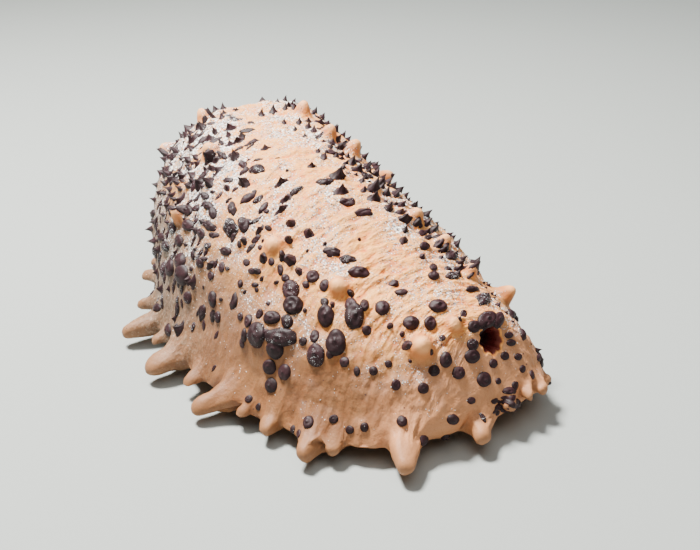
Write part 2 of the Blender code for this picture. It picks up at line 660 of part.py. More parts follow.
def make_sole():
    """Flat creeping sole with three bands of short tube feet, which carry the whole animal."""
    outline = []
    for i in range(SOLE_SIDES):
        turn = math.tau * i / SOLE_SIDES
        outline.append(sole_spot(rounded(math.sin(turn)), rounded(math.cos(turn))))
    centre = sum(outline, Vector()) / len(outline)
    bm = bmesh.new()
    rings = []
    for z, scale in ((SOLE_BOTTOM_Z, 0.95), (SOLE_BOTTOM_Z + 1.2, 1.0), (SOLE_TOP_Z, 0.99)):
        rings.append([centre + (p - centre) * scale + Vector((0, 0, z * MM)) for p in outline])
    stack_of_rings(bm, rings)
    face_out(bm)
    sole = new_object("sole", bm, SOLE_SKIN)
    feet = []
    for band in FOOT_BANDS:
        for i in range(FEET_IN_BAND):
            along = 0.88 * (2 * (i + 0.5) / FEET_IN_BAND - 1)
            narrowing = (1 - abs(along) ** SOLE_ROUNDNESS) ** (1 / SOLE_ROUNDNESS)
            zigzag = 0.12 if i % 2 else -0.12
            spot = sole_spot(along, (band + zigzag) * narrowing)
            feet.append(tube_foot(f"foot_{len(feet)}", spot))
    join_to(sole, feet)


def tube_foot(name, spot):
    """Short foot on the floor: a flat pad, a narrow neck and a root sunk in the sole."""
    bm = bmesh.new()
    rings = []
    root = (FOOT_NECK * 1.3, SOLE_BOTTOM_Z + 1.0)
    levels = ((FOOT_PAD, 0.0), (FOOT_PAD * 0.85, 0.45), (FOOT_NECK, 0.95), root)
    for radius, z in levels:
        centre = spot + Vector((0, 0, z * MM))
        rings.append(ring_about(centre, Vector((0, 0, 1)), Vector((1, 0, 0)), radius * MM, 6))
    stack_of_rings(bm, rings)
    face_out(bm)
    return new_object(name, bm, None)


def main():
    clear_scene()
    make_body()
    make_mouth()
    for number in range(TENTACLES):
        make_tentacle(number)
    make_sole()


main()
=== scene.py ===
"""Visual model of a three-rowed sea cucumber at rest, built round its plain solids.

The body lies along Y, with the mouth under its -Y end, the vent at its +Y end and its back up.
Tables and shape functions are in millimetres; meshes are in metres.
"""
import math
import random

import bpy
import numpy as np
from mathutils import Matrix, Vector
from mathutils.bvhtree import BVHTree


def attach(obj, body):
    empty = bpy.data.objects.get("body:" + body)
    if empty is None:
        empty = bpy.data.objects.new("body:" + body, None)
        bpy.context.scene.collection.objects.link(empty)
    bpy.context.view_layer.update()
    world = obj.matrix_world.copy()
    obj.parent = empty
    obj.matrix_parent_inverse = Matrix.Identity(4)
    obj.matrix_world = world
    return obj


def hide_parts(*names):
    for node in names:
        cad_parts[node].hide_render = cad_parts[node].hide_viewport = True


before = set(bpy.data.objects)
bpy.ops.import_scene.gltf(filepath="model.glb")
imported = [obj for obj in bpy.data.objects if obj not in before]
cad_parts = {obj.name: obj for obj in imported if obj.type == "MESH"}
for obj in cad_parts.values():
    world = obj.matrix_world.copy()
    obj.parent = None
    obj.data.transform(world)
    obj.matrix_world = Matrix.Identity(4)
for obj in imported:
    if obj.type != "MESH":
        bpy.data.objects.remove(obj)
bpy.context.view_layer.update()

MM = 0.001
SEED = 41

# One row for each ring of the body, from the mouth end to the vent end:
# share of the way, half width, back's y and z, belly's y and z, height share where it is widest.
RINGS = np.array((
    (0.00, 11.0, -90.5, 13.5, -69.0, 13.5, 0.50),
    (0.06, 19.0, -102.5, 19.5, -64.5, 8.0, 0.46),
    (0.12, 24.5, -109.5, 29.2, -61.5, 5.0, 0.38),
    (0.19, 30.0, -109.0, 44.1, -59.0, 3.8, 0.28),
    (0.27, 35.0, -97.5, 59.5, -55.5, 3.8, 0.18),
    (0.36, 41.2, -74.5, 71.0, -48.5, 3.8, 0.09),
    (0.46, 46.6, -42.0, 75.2, -31.0, 3.8, 0.06),
    (0.56, 50.0, -12.0, 74.3, -6.5, 3.8, 0.05),
    (0.66, 51.0, 16.0, 68.0, 19.5, 3.8, 0.05),
    (0.76, 49.0, 39.5, 58.0, 46.0, 3.8, 0.05),
    (0.85, 43.5, 58.0, 48.5, 72.0, 3.8, 0.07),
    (0.92, 33.5, 69.0, 42.5, 88.0, 5.0, 0.14),
    (0.97, 19.0, 76.5, 38.5, 92.0, 13.5, 0.30),
    (1.00, 5.6, 80.3, 36.1, 85.3, 26.4, 0.50),
))
CENTRE_X = -2.8
CENTRE_Y = -7.18
UNDERSIDE_Z = 4.8
FRONT_BEND = 16.5
REAR_BEND = 18.5
FOOT_FLARE = 0.085
FRONT_LEAN = 16.0
FRONT_SHOULDER = 0.12
RIGHT_TUCK = 0.17
VENT_PLEATS = 9
VENT_PLEAT_DEPTH = 0.05

# Grid of the skin: rows along the body, rows down the vent, columns over and under the body.
BODY_ROWS = 372
VENT_ROWS = 24
TOP_COLUMNS = 188
UNDER_COLUMNS = 60
TOP_FROM = -12.0
TOP_TO = 192.0
# Lining of the open vent: share of the rim's size and depth.
VENT_LINING = ((1.0, 0.0), (0.93, 0.15), (0.82, 0.7), (0.70, 2.0), (0.62, 3.4), (0.50, 5.2), (0.36, 6.4),
               (0.12, 7.0))
VENT_FLOOR_DEPTH = 7.1
# Value of the vent's attribute at its rim; it rises to 1 at the floor, and the finish paints shade into the
# lining as it rises.
VENT_RIM_VALUE = 0.16

# Warts: share, angle, half length, half width, turn of the length from the body's line,
# kind 0 for a round dome, 1 for a low dusty patch and 2 for a sharp thorn. Those of the
# right side and the front are last in the first table.
LARGE_WARTS = (
    (0.765, 30, 5.0, 2.9, 27, 0), (0.555, 24, 3.8, 3.5, 163, 0), (0.731, 26, 4.0, 3.4, 122, 0),
    (0.834, 39, 3.9, 3.1, 123, 0), (0.838, 52, 4.1, 2.9, 124, 0), (0.816, 31, 3.5, 2.9, 123, 0),
    (0.988, 98, 4.1, 2.4, 96, 0), (0.759, 42, 3.3, 2.9, 5, 0), (0.611, 48, 3.6, 2.6, 178, 1),
    (0.929, 113, 4.2, 2.2, 110, 1), (0.514, 22, 3.2, 2.9, 166, 0), (0.542, 27, 3.4, 2.7, 10, 0),
    (0.806, 46, 3.4, 2.6, 135, 0), (0.745, 46, 3.2, 2.7, 156, 0), (0.763, 25, 2.9, 2.8, 115, 0),
    (0.680, 104, 3.9, 2.0, 111, 2), (0.530, 37, 3.7, 2.0, 20, 0), (0.652, 93, 3.3, 2.1, 87, 2),
    (0.924, 76, 3.1, 2.2, 41, 0), (0.986, 126, 3.3, 2.0, 10, 0), (0.741, 34, 3.1, 2.1, 27, 0),
    (0.478, 25, 3.5, 1.9, 22, 0), (0.815, 116, 3.5, 1.8, 111, 0), (0.895, 143, 3.5, 1.8, 136, 0),
    (0.579, 69, 3.2, 2.0, 33, 1), (0.515, 40, 3.4, 1.8, 12, 0), (0.527, 52, 3.4, 1.8, 1, 2),
    (0.802, 68, 3.3, 1.9, 46, 0), (0.480, 18, 2.7, 2.3, 112, 0), (0.491, 32, 3.1, 1.9, 173, 0),
    (0.781, 19, 2.5, 2.3, 74, 0), (0.520, 31, 2.9, 2.0, 6, 0), (0.986, -56, 2.7, 2.2, 110, 0),
    (0.993, -6, 2.7, 2.1, 132, 0), (0.630, 25, 2.6, 2.2, 127, 0), (0.863, 61, 2.5, 2.2, 111, 0),
    (0.628, 52, 2.9, 1.9, 157, 0), (0.911, 60, 2.5, 2.2, 36, 0), (0.703, 99, 3.0, 1.8, 98, 2),
    (0.656, 86, 2.8, 1.9, 66, 1), (0.759, 18, 2.4, 2.2, 69, 0), (0.524, 65, 3.2, 1.7, 178, 2),
    (0.682, 88, 2.6, 2.0, 84, 2), (0.529, 4, 2.5, 2.1, 163, 0), (0.366, 26, 3.1, 1.6, 17, 0),
    (0.405, 60, 3.1, 1.6, 175, 2), (0.868, 104, 3.1, 1.6, 88, 0), (0.899, 111, 3.1, 1.6, 93, 1),
    (0.583, 62, 2.7, 1.8, 177, 2), (0.549, 129, 3.0, 1.6, 140, 2), (0.766, 12, 2.3, 2.1, 94, 0),
    (0.969, 30, 2.3, 2.0, 47, 0), (0.826, 55, 2.4, 1.9, 130, 0), (0.726, 89, 3.0, 1.6, 67, 1),
    (0.754, 67, 2.7, 1.7, 44, 1), (0.446, 25, 2.9, 1.5, 21, 0), (0.751, 103, 2.9, 1.5, 87, 2),
    (0.440, 94, 2.6, 1.7, 169, 2), (0.307, 42, 2.9, 1.5, 179, 2), (0.759, 55, 2.2, 2.0, 160, 0),
    (0.515, 128, 2.9, 1.5, 144, 2), (0.611, 117, 2.9, 1.5, 130, 2), (0.400, 20, 2.8, 1.5, 22, 2),
    (0.596, 53, 2.7, 1.6, 160, 1), (0.615, 108, 2.8, 1.5, 131, 2), (0.719, 54, 2.2, 1.9, 158, 2),
    (0.701, 87, 2.8, 1.5, 67, 1), (0.575, 19, 2.1, 1.9, 102, 0), (0.981, 2, 2.2, 1.9, 134, 0),
    (0.988, 67, 2.2, 1.9, 26, 0), (0.934, 63, 2.2, 1.9, 75, 0), (0.469, 5, 2.8, 1.5, 22, 0),
    (0.777, 69, 2.6, 1.5, 47, 1), (0.480, -1, 2.8, 1.5, 35, 0), (0.721, 122, 2.8, 1.5, 121, 2),
    (0.427, 121, 2.8, 1.5, 152, 2), (0.378, 47, 2.8, 1.5, 5, 2), (0.682, 115, 2.8, 1.5, 116, 2),
    (0.766, 131, 2.8, 1.5, 126, 2), (0.555, 47, 2.8, 1.4, 21, 0), (0.446, 122, 2.7, 1.4, 151, 2),
    (0.304, 44, 2.7, 1.4, 177, 2), (0.568, 39, 2.4, 1.6, 8, 0), (0.764, 36, 2.2, 1.8, 137, 0),
    (0.688, 109, 2.7, 1.4, 113, 2), (0.395, 40, 2.7, 1.4, 11, 2), (0.749, 116, 2.7, 1.4, 117, 2),
    (0.173, 163, 3.2, 1.8, 63, 0), (0.551, 157, 2.7, 2.1, 68, 0), (0.268, 121, 2.3, 1.3, 96, 2),
    (0.596, 168, 2.8, 2.0, 99, 0), (0.722, 140, 2.0, 1.4, 96, 2), (0.617, 148, 3.1, 2.5, 95, 0),
    (0.262, 156, 2.3, 2.0, 99, 0), (0.577, 129, 1.9, 1.7, 89, 2), (0.791, 152, 2.5, 1.6, 66, 0),
    (0.121, 149, 3.7, 2.4, 105, 0), (0.205, 18, 3.0, 2.4, 114, 0), (0.626, 175, 3.0, 2.0, 87, 0),
    (0.230, 83, 2.4, 2.0, 73, 2), (0.162, 53, 2.0, 1.7, 80, 2), (0.499, 136, 1.9, 1.6, 63, 2),
    (0.158, 104, 1.9, 1.6, 69, 2), (0.379, 125, 2.4, 1.9, 113, 2), (0.080, 97, 2.4, 1.4, 78, 2),
    (0.139, 118, 2.0, 1.4, 74, 2), (0.933, 171, 2.6, 2.0, 78, 0), (0.332, 73, 2.7, 1.6, 120, 2),
    (0.486, 151, 2.2, 1.3, 90, 0), (0.627, 132, 3.1, 1.8, 97, 2), (0.960, 152, 2.0, 1.5, 69, 0),
    (0.195, 76, 2.0, 1.4, 89, 2), (0.512, 155, 3.7, 2.2, 99, 0), (0.312, 171, 2.4, 1.4, 87, 0),
    (0.497, 162, 2.0, 1.5, 116, 0), (0.118, 46, 2.0, 1.4, 77, 2), (0.165, 29, 2.7, 2.4, 113, 0),
    (0.472, 143, 2.2, 1.5, 110, 0), (0.407, 130, 2.3, 1.4, 111, 2), (0.257, 45, 2.0, 1.5, 72, 2),
    (0.129, 82, 3.3, 2.2, 73, 2), (0.323, 144, 2.8, 1.8, 75, 0), (0.210, 39, 2.4, 1.5, 111, 0),
    (0.334, 11, 2.9, 1.7, 91, 0), (0.165, 134, 2.2, 2.1, 99, 2), (0.333, 105, 2.2, 1.4, 69, 2),
    (0.724, 156, 3.0, 1.9, 101, 0), (0.308, 21, 2.9, 1.9, 106, 0), (0.381, 133, 2.2, 1.3, 120, 2),
    (0.078, 129, 2.7, 1.8, 63, 2), (0.794, 137, 3.1, 2.2, 104, 2), (0.248, 135, 2.4, 1.5, 102, 2),
    (0.196, 46, 2.2, 1.4, 91, 2),
)
MIDDLE_WARTS = (
    (0.384, 66, 2.7, 1.4, 179, 2), (0.581, 43, 2.7, 1.4, 24, 1), (0.726, 101, 2.6, 1.5, 113, 2),
    (0.574, 47, 2.5, 1.5, 165, 0), (0.379, 10, 2.7, 1.4, 28, 0), (0.994, 18, 2.1, 1.8, 154, 0),
    (0.710, 23, 2.3, 1.6, 117, 0), (0.386, 2, 2.7, 1.4, 32, 0), (0.581, 129, 2.7, 1.4, 135, 2),
    (0.438, 49, 2.7, 1.4, 9, 2), (0.130, -85, 2.6, 1.4, 74, 0), (0.723, 117, 2.6, 1.4, 109, 2),
    (0.781, 55, 2.1, 1.6, 140, 0), (0.631, 127, 2.6, 1.4, 128, 2), (0.919, -61, 2.6, 1.4, 80, 0),
    (0.709, 28, 2.0, 1.7, 131, 0), (0.804, 102, 2.5, 1.4, 95, 0), (0.865, 92, 2.2, 1.6, 83, 0),
    (0.665, 125, 2.5, 1.3, 124, 2), (0.590, 32, 2.1, 1.6, 7, 0), (0.958, -35, 2.1, 1.6, 114, 0),
    (0.624, 41, 2.4, 1.4, 24, 0), (0.464, 35, 2.5, 1.3, 23, 0), (0.348, 76, 2.5, 1.3, 166, 2),
    (0.361, 21, 2.5, 1.3, 21, 2), (0.482, 48, 2.5, 1.3, 176, 2), (0.537, 48, 2.4, 1.3, 12, 0),
    (0.634, 123, 2.5, 1.3, 125, 2), (0.624, 119, 2.5, 1.3, 125, 2), (0.503, 61, 2.5, 1.3, 20, 1),
    (0.826, 6, 1.8, 1.8, 33, 0), (0.542, 115, 2.4, 1.3, 141, 2), (0.474, 125, 2.4, 1.3, 149, 2),
    (0.443, 87, 2.4, 1.3, 170, 2), (0.532, 43, 2.4, 1.3, 26, 1), (0.376, 53, 2.4, 1.3, 4, 2),
    (0.551, 66, 2.3, 1.4, 22, 1), (0.491, 127, 2.4, 1.3, 147, 2), (0.647, 21, 1.9, 1.6, 111, 0),
    (0.841, 58, 2.1, 1.4, 124, 0), (0.853, 146, 2.4, 1.3, 133, 0), (0.555, 58, 2.4, 1.3, 26, 1),
    (0.410, 69, 2.4, 1.3, 176, 2), (0.506, 127, 2.4, 1.3, 145, 2), (0.735, 105, 2.4, 1.2, 93, 2),
    (0.709, 112, 2.4, 1.2, 110, 2), (0.805, 37, 2.0, 1.5, 129, 0), (0.389, 25, 2.4, 1.2, 19, 2),
    (0.573, 43, 2.4, 1.2, 28, 1), (0.534, 128, 2.4, 1.2, 142, 2), (0.525, 105, 2.3, 1.2, 141, 2),
    (0.408, 35, 2.3, 1.2, 17, 2), (0.425, 52, 2.3, 1.2, 180, 2), (0.496, 101, 2.3, 1.2, 158, 2),
    (0.682, 64, 1.8, 1.5, 16, 2), (0.529, 114, 2.3, 1.2, 145, 2), (0.958, 27, 1.7, 1.6, 42, 0),
    (0.511, 104, 2.3, 1.2, 153, 2), (0.846, 97, 2.1, 1.3, 113, 0), (0.931, -30, 2.1, 1.3, 106, 0),
    (0.895, 147, 2.3, 1.2, 137, 0), (0.761, 117, 2.3, 1.2, 124, 2), (0.505, 55, 2.3, 1.2, 6, 2),
    (0.685, 48, 1.9, 1.5, 157, 2), (0.956, 249, 2.3, 1.2, 38, 0), (0.606, 128, 2.3, 1.2, 131, 2),
    (0.948, 19, 1.7, 1.6, 171, 0), (0.711, 66, 1.7, 1.6, 23, 2), (0.429, 38, 2.3, 1.2, 16, 2),
    (0.491, 72, 2.3, 1.2, 179, 2), (0.357, 52, 2.2, 1.2, 179, 2), (0.430, 108, 2.2, 1.2, 156, 2),
    (0.864, 73, 2.0, 1.3, 45, 0), (0.487, 45, 2.2, 1.2, 20, 2), (0.569, 129, 2.2, 1.2, 137, 2),
    (0.434, 102, 2.2, 1.2, 160, 2), (0.376, 112, 2.2, 1.2, 157, 2), (0.629, 36, 1.8, 1.4, 148, 0),
    (0.318, 33, 2.2, 1.2, 7, 2), (0.603, 97, 2.2, 1.2, 143, 2), (0.333, 66, 2.2, 1.1, 167, 2),
    (0.435, 63, 2.2, 1.1, 176, 2), (0.453, 42, 2.2, 1.1, 22, 2), (0.340, 29, 2.2, 1.1, 13, 2),
    (0.619, 88, 1.7, 1.4, 89, 2), (0.426, 73, 2.2, 1.1, 11, 1), (0.454, 52, 2.2, 1.1, 3, 2),
    (0.790, 94, 1.9, 1.3, 110, 2), (0.925, 7, 1.6, 1.6, 147, 0), (0.708, 117, 2.1, 1.1, 116, 2),
    (0.708, 20, 1.7, 1.4, 108, 0), (0.725, 113, 2.1, 1.1, 114, 2), (0.440, 111, 2.1, 1.1, 157, 2),
    (0.599, 104, 2.1, 1.1, 123, 2), (0.552, 38, 2.0, 1.1, 20, 2), (0.951, 256, 2.1, 1.1, 43, 0),
    (0.802, 127, 2.1, 1.1, 119, 2), (0.853, 33, 1.6, 1.5, 116, 0), (0.394, 37, 2.1, 1.1, 9, 2),
    (0.920, 26, 1.6, 1.4, 72, 0), (0.615, 31, 1.7, 1.4, 10, 0), (0.825, 124, 2.1, 1.1, 117, 0),
    (0.996, -76, 1.6, 1.4, 100, 0), (0.593, 42, 2.1, 1.1, 25, 1), (0.996, 236, 1.7, 1.3, 61, 0),
    (0.591, 38, 2.0, 1.1, 28, 1), (0.941, 170, 2.0, 1.1, 11, 0), (0.863, 49, 1.5, 1.4, 122, 0),
    (0.698, 59, 1.6, 1.3, 166, 2), (0.664, 102, 2.0, 1.1, 124, 2), (0.569, 32, 1.9, 1.1, 140, 0),
    (0.473, 42, 2.0, 1.0, 19, 2), (0.685, 98, 1.9, 1.1, 121, 2), (0.990, 181, 2.0, 1.1, 39, 0),
    (0.454, 57, 2.0, 1.0, 4, 2), (0.469, 67, 2.0, 1.0, 177, 2), (0.389, 115, 2.0, 1.0, 156, 2),
    (0.474, 63, 2.0, 1.0, 180, 2), (0.459, 48, 2.0, 1.0, 10, 2), (0.968, 207, 1.5, 1.3, 143, 0),
    (0.954, -95, 2.0, 1.0, 61, 0), (0.976, 246, 1.5, 1.4, 60, 0), (0.591, 118, 1.9, 1.0, 136, 2),
    (0.927, 165, 1.9, 1.0, 178, 2), (0.309, 38, 1.9, 1.0, 2, 2), (0.708, 53, 1.8, 1.1, 143, 2),
    (0.489, 47, 1.9, 1.0, 12, 2), (0.991, 167, 1.9, 1.0, 25, 0), (0.845, 75, 1.7, 1.1, 51, 1),
    (0.772, 99, 1.8, 1.1, 112, 2), (0.716, 49, 1.8, 1.1, 141, 0), (0.561, 42, 1.9, 1.0, 28, 2),
    (0.738, 133, 1.9, 1.0, 122, 2), (0.439, 44, 1.9, 1.0, 18, 2), (0.489, 94, 1.8, 1.0, 162, 2),
    (0.691, 27, 1.4, 1.3, 5, 0), (0.794, 33, 1.4, 1.3, 16, 0), (0.519, 49, 1.9, 1.0, 20, 2),
    (0.823, 96, 1.6, 1.1, 105, 2), (0.891, 33, 1.4, 1.3, 102, 0), (0.818, 1, 1.4, 1.3, 53, 0),
    (0.642, 48, 1.6, 1.2, 158, 2), (0.629, 101, 1.9, 1.0, 134, 2), (0.795, 50, 1.4, 1.3, 162, 0),
    (0.385, 55, 1.9, 1.0, 3, 2), (0.886, 8, 1.4, 1.3, 88, 0), (0.565, 56, 1.7, 1.1, 4, 2),
    (0.461, 79, 1.7, 1.0, 26, 1), (0.541, 98, 1.7, 1.0, 141, 2), (0.985, 204, 1.6, 1.1, 45, 0),
    (0.833, 34, 1.5, 1.2, 120, 0), (0.466, 44, 1.8, 1.0, 21, 2), (0.729, 48, 1.5, 1.2, 20, 0),
    (0.573, 106, 1.8, 1.0, 135, 2), (0.961, 81, 1.5, 1.1, 84, 1), (0.739, 53, 1.5, 1.2, 150, 2),
    (0.416, 47, 1.8, 0.9, 17, 2), (0.680, 42, 1.7, 1.0, 27, 0), (0.849, 106, 1.8, 0.9, 82, 1),
    (0.870, 6, 1.4, 1.2, 17, 0), (0.974, -45, 1.5, 1.1, 112, 0), (0.415, 32, 1.8, 0.9, 15, 2),
    (0.593, 111, 1.8, 0.9, 136, 2), (0.851, 9, 1.3, 1.3, 21, 0), (0.525, 110, 1.8, 0.9, 142, 2),
    (0.686, 43, 1.6, 1.0, 27, 0), (0.978, 214, 1.3, 1.2, 59, 0), (0.439, 31, 1.8, 0.9, 17, 2),
    (0.465, 31, 1.7, 0.9, 18, 2), (0.834, 143, 1.7, 0.9, 129, 2), (0.739, 4, 1.3, 1.2, 25, 0),
    (0.671, 36, 1.4, 1.1, 144, 0), (0.665, 43, 1.4, 1.1, 178, 0), (0.469, 109, 1.7, 0.9, 154, 2),
    (0.393, 43, 1.7, 0.9, 13, 2), (0.758, 51, 1.3, 1.1, 168, 0), (0.871, 31, 1.4, 1.0, 109, 0),
    (0.816, 59, 1.2, 1.1, 137, 2), (0.838, 127, 1.6, 0.9, 121, 2), (0.699, 49, 1.3, 1.1, 160, 0),
    (0.631, 54, 1.4, 1.0, 21, 1), (0.588, 97, 1.6, 0.9, 141, 2), (0.497, 53, 1.6, 0.8, 11, 2),
    (0.464, 38, 1.6, 0.8, 21, 2), (0.806, 1, 1.3, 1.0, 97, 0), (0.755, 3, 1.2, 1.1, 86, 0),
    (0.907, 37, 1.1, 1.1, 84, 0), (0.435, -1, 1.5, 0.8, 30, 0), (0.693, 39, 1.4, 0.8, 29, 0),
    (0.546, 51, 1.5, 0.8, 24, 2), (0.662, 57, 1.3, 0.9, 19, 0), (0.540, 32, 1.4, 0.8, 19, 2),
    (0.642, 61, 1.2, 0.9, 9, 0), (0.888, 55, 1.1, 1.0, 32, 2), (0.985, -85, 1.1, 1.0, 110, 0),
    (0.595, 34, 1.3, 0.8, 22, 0), (0.639, 46, 1.3, 0.8, 146, 0), (0.958, 52, 1.1, 1.0, 29, 0),
    (0.960, -67, 1.2, 0.9, 68, 1), (0.744, 29, 1.2, 0.9, 27, 0), (0.519, 96, 1.3, 0.8, 151, 2),
    (0.806, 51, 1.2, 0.8, 133, 2), (0.570, 34, 1.2, 0.8, 17, 2), (0.605, 63, 1.1, 0.8, 14, 1),
    (0.670, 50, 1.1, 0.8, 3, 0), (0.573, 28, 1.1, 0.8, 20, 0), (0.775, -4, 1.2, 0.6, 55, 0),
    (0.640, 37, 1.0, 0.7, 18, 0), (0.929, 194, 1.1, 0.6, 4, 0), (0.777, 43, 0.8, 0.7, 140, 0),
    (0.940, 234, 1.0, 0.5, 16, 0), (0.699, 38, 0.8, 0.7, 18, 0), (0.725, 37, 0.8, 0.7, 17, 0),
    (0.646, 27, 0.8, 0.6, 24, 0),
)
SMALL_WART_COUNT = 210
# Crowds of warts: how many, middle as share and angle, spread of both, share of thorns.
SHOULDER_WARTS = (175, (0.47, 42.0), (0.10, 19.0), 0.35)
RIDGE_WARTS = (85, (0.63, 112.0), (0.12, 6.0), 0.65)
EDGE_WARTS = (12, (0.964, -95.0), (0.006, 8.0), 0.0)

DOME, PATCH, THORN = 0, 1, 2
# One value for each kind: height, unevenness of the outline and of the top, and rise of the skin
# round it, all as shares of the wart's size, then the sand that lies on it.
WART_HEIGHTS = (0.50, 0.40, 1.22)
WART_UNEVENNESS = (0.035, 0.14, 0.10)
WART_ROUGHNESS = (0.025, 0.06, 0.05)
WART_SKIN_RISE = (0.34, 0.18, 0.42)
WART_SAND = (0.0, 0.20, 0.0)
# Width of a wart against its row, and depth of its rim under the skin.
WART_SPREAD = 1.12
WART_ROOT = 0.45
# Half length times half width above which a wart is a big one; rings and sides of big and small.
BIG_WART_AREA = 2.6
BIG_WART_GRID = (12, 26)
SMALL_WART_GRID = (7, 14)

# Blunt papillae along the lower edge: share, angle, length, root radius, turn to the rear.
PAPILLAE = (
    (0.150, -4, 6.0, 3.0, -30), (0.205, -2, 7.5, 3.4, -25), (0.262, 0, 8.5, 4.0, -22),
    (0.306, 0, 9.0, 3.8, -12), (0.396, 0, 7.0, 3.4, -10), (0.462, -2, 14.0, 5.4, 8),
    (0.512, 0, 5.0, 3.2, 0), (0.572, -2, 13.0, 6.0, 6), (0.632, 0, 6.0, 3.6, 4),
    (0.700, -2, 13.0, 5.2, -20), (0.738, 0, 4.0, 3.2, 0), (0.776, -2, 5.5, 3.8, 10),
    (0.832, -4, 9.5, 5.0, 8), (0.854, -8, 4.5, 3.4, 5), (0.918, -22, 12.5, 5.4, -20),
    (0.944, -74, 8.5, 4.4, -22), (0.964, -98, 3.0, 3.0, 30), (0.962, -132, 4.5, 3.2, 30),
    (0.952, -152, 4.5, 3.2, 20), (0.930, -170, 3.0, 3.0, 0), (0.850, 182, 4.5, 3.6, 0),
    (0.150, 182, 6.1, 3.8, -14), (0.210, 182, 12.9, 5.5, -8), (0.258, 182, 6.2, 3.8, 5),
    (0.274, 182, 15.0, 6.1, -12), (0.405, 182, 5.7, 3.7, -14), (0.460, 182, 12.7, 5.5, 0),
    (0.515, 182, 5.1, 3.5, -9), (0.570, 182, 14.2, 5.9, 1), (0.625, 182, 5.4, 3.6, 3),
    (0.730, 182, 14.7, 6.0, -15), (0.785, 182, 6.3, 3.8, 6),
)
# How a papilla stands from its footprint: shares of the footprint, the root radius and the length.
PAPILLA_SHAPE = ((0.00, 0.00, 1.00), (0.10, 0.24, 0.985), (0.22, 0.46, 0.91), (0.38, 0.63, 0.72),
                 (0.56, 0.78, 0.38), (0.74, 0.98, 0.10), (0.88, 1.20, 0.01))
# A papilla's height as a share of its width.
PAPILLA_FLATNESS = 0.94

# Soft pale mounds on the back and flanks: share, angle, root radius, height in the solids.
MOUNDS = (
    (0.938, 46, 5.2, 4.4), (0.962, 66, 4.0, 2.6), (0.844, 145, 4.4, 5.0), (0.798, 58, 4.4, 3.2),
    (0.688, 54, 4.6, 3.4), (0.482, 58, 4.6, 4.0), (0.500, 37, 4.4, 3.8), (0.380, 63, 3.8, 4.4),
    (0.464, 107, 3.8, 5.0), (0.538, 110, 3.8, 4.2), (0.562, 119, 4.2, 4.4), (0.568, 138, 4.6, 4.8),
    (0.744, 110, 4.2, 4.2), (0.790, 116, 4.0, 3.4), (0.844, 121, 3.6, 3.0), (0.300, 46, 4.6, 4.2),
    (0.300, 132, 4.6, 4.2), (0.210, 60, 4.2, 3.6), (0.210, 122, 4.2, 3.6), (0.410, 142, 4.4, 4.0),
    (0.644, 152, 4.6, 4.4),
)
# How much higher a mound stands in the render, and its half width as a share of its root radius.
MOUND_RISE = 1.3
MOUND_WIDTH = 0.74

# Sand grains: number on a square metre of full dust, smallest and largest radius in metres.
GRAIN_DENSITY = 700000.0
GRAIN_RADII = (0.00009, 0.00026)
LOWEST_SKIN_Z = 4.2
LOWEST_PAPILLA_Z = 0.7

MOUTH_AT = (-13.7, -72.5, 13.5)
MOUTH_RADIUS = 9.6
MOUTH_THICKNESS = 4.0
SEAT_GAP = 0.35
TENTACLES = 20
TENTACLE_ROOT_RING = 7.6
TENTACLE_STALK = 0.9
# Long and short tentacles: reach over the floor and size of the shield.
TENTACLE_REACHES = (17.0, 12.0)
SHIELD_SIZES = (2.9, 2.2)
# A shield from its stalk over its edge to its flat end: share of its size and height.
SHIELD_PROFILE = ((0.42, 2.75), (0.60, 2.60), (0.80, 2.45), (0.95, 2.15), (1.0, 1.80), (0.97, 1.45),
                  (0.86, 1.20), (0.70, 1.05), (0.52, 0.98), (0.34, 0.94), (0.16, 0.92))
SHIELD_END_Z = 0.92
SHIELD_LOBES = 8

SOLE_TOP_Z = UNDERSIDE_Z - 0.35
SOLE_BOTTOM_Z = 1.9
SOLE_FRONT_Y = -56.0
SOLE_REAR_Y = 82.0
SOLE_WIDTH = 0.74
SOLE_ROUNDNESS = 2.6
# The slab's edge from its top to its underside: share of its width and height.
SOLE_PROFILE = ((0.20, SOLE_TOP_Z), (0.60, SOLE_TOP_Z), (0.96, SOLE_TOP_Z), (0.995, 4.1), (1.0, 3.5),
                (0.99, 2.9), (0.97, 2.4), (0.95, 2.1), (0.93, 1.95))
FOOT_ROWS = 34
FOOT_BANDS = (-0.80, -0.66, -0.52, -0.12, 0.0, 0.12, 0.52, 0.66, 0.80)
# Radius of a pad and height of a foot, in metres.
FOOT_PAD = 0.00125
FOOT_HEIGHT = 0.0026

# In metres and degrees.
CAMERA_TARGET = (-0.0157, 0.0091, 0.0223)
CAMERA_DISTANCE = 0.3946
CAMERA_AZIMUTH = 145.0
CAMERA_ELEVATION = 26.0
CAMERA_ANGLE = 38.0


def unit(vectors):
    """The vectors at length one."""
    return vectors / np.maximum(np.linalg.norm(vectors, axis=-1, keepdims=True), 1e-9)


def smooth_step(low, high, value):
    """Smooth rise from 0 at low to 1 at high, also where low is the larger."""
    t = np.clip((value - low) / (high - low), 0.0, 1.0)
    return t * t * (3 - 2 * t)


def bell(value, middle, width):
    """1 at the middle, falling off smoothly to both sides."""
    return np.exp(-((value - middle) / width) ** 2)


def hermite(share, knots, values, slopes):
    """Smooth curve through the values at the knots; one column for each kind of value."""
    k = np.clip(np.searchsorted(knots, share, side="left") - 1, 0, len(knots) - 2)
    span = (knots[k + 1] - knots[k])[..., None]
    t = (share - knots[k])[..., None] / span
    h00 = (1 + 2 * t) * (1 - t) ** 2
    h10 = t * (1 - t) ** 2
    h01 = t * t * (3 - 2 * t)
    h11 = t * t * (t - 1)
    return h00 * values[k] + h10 * span * slopes[k] + h01 * values[k + 1] + h11 * span * slopes[k + 1]


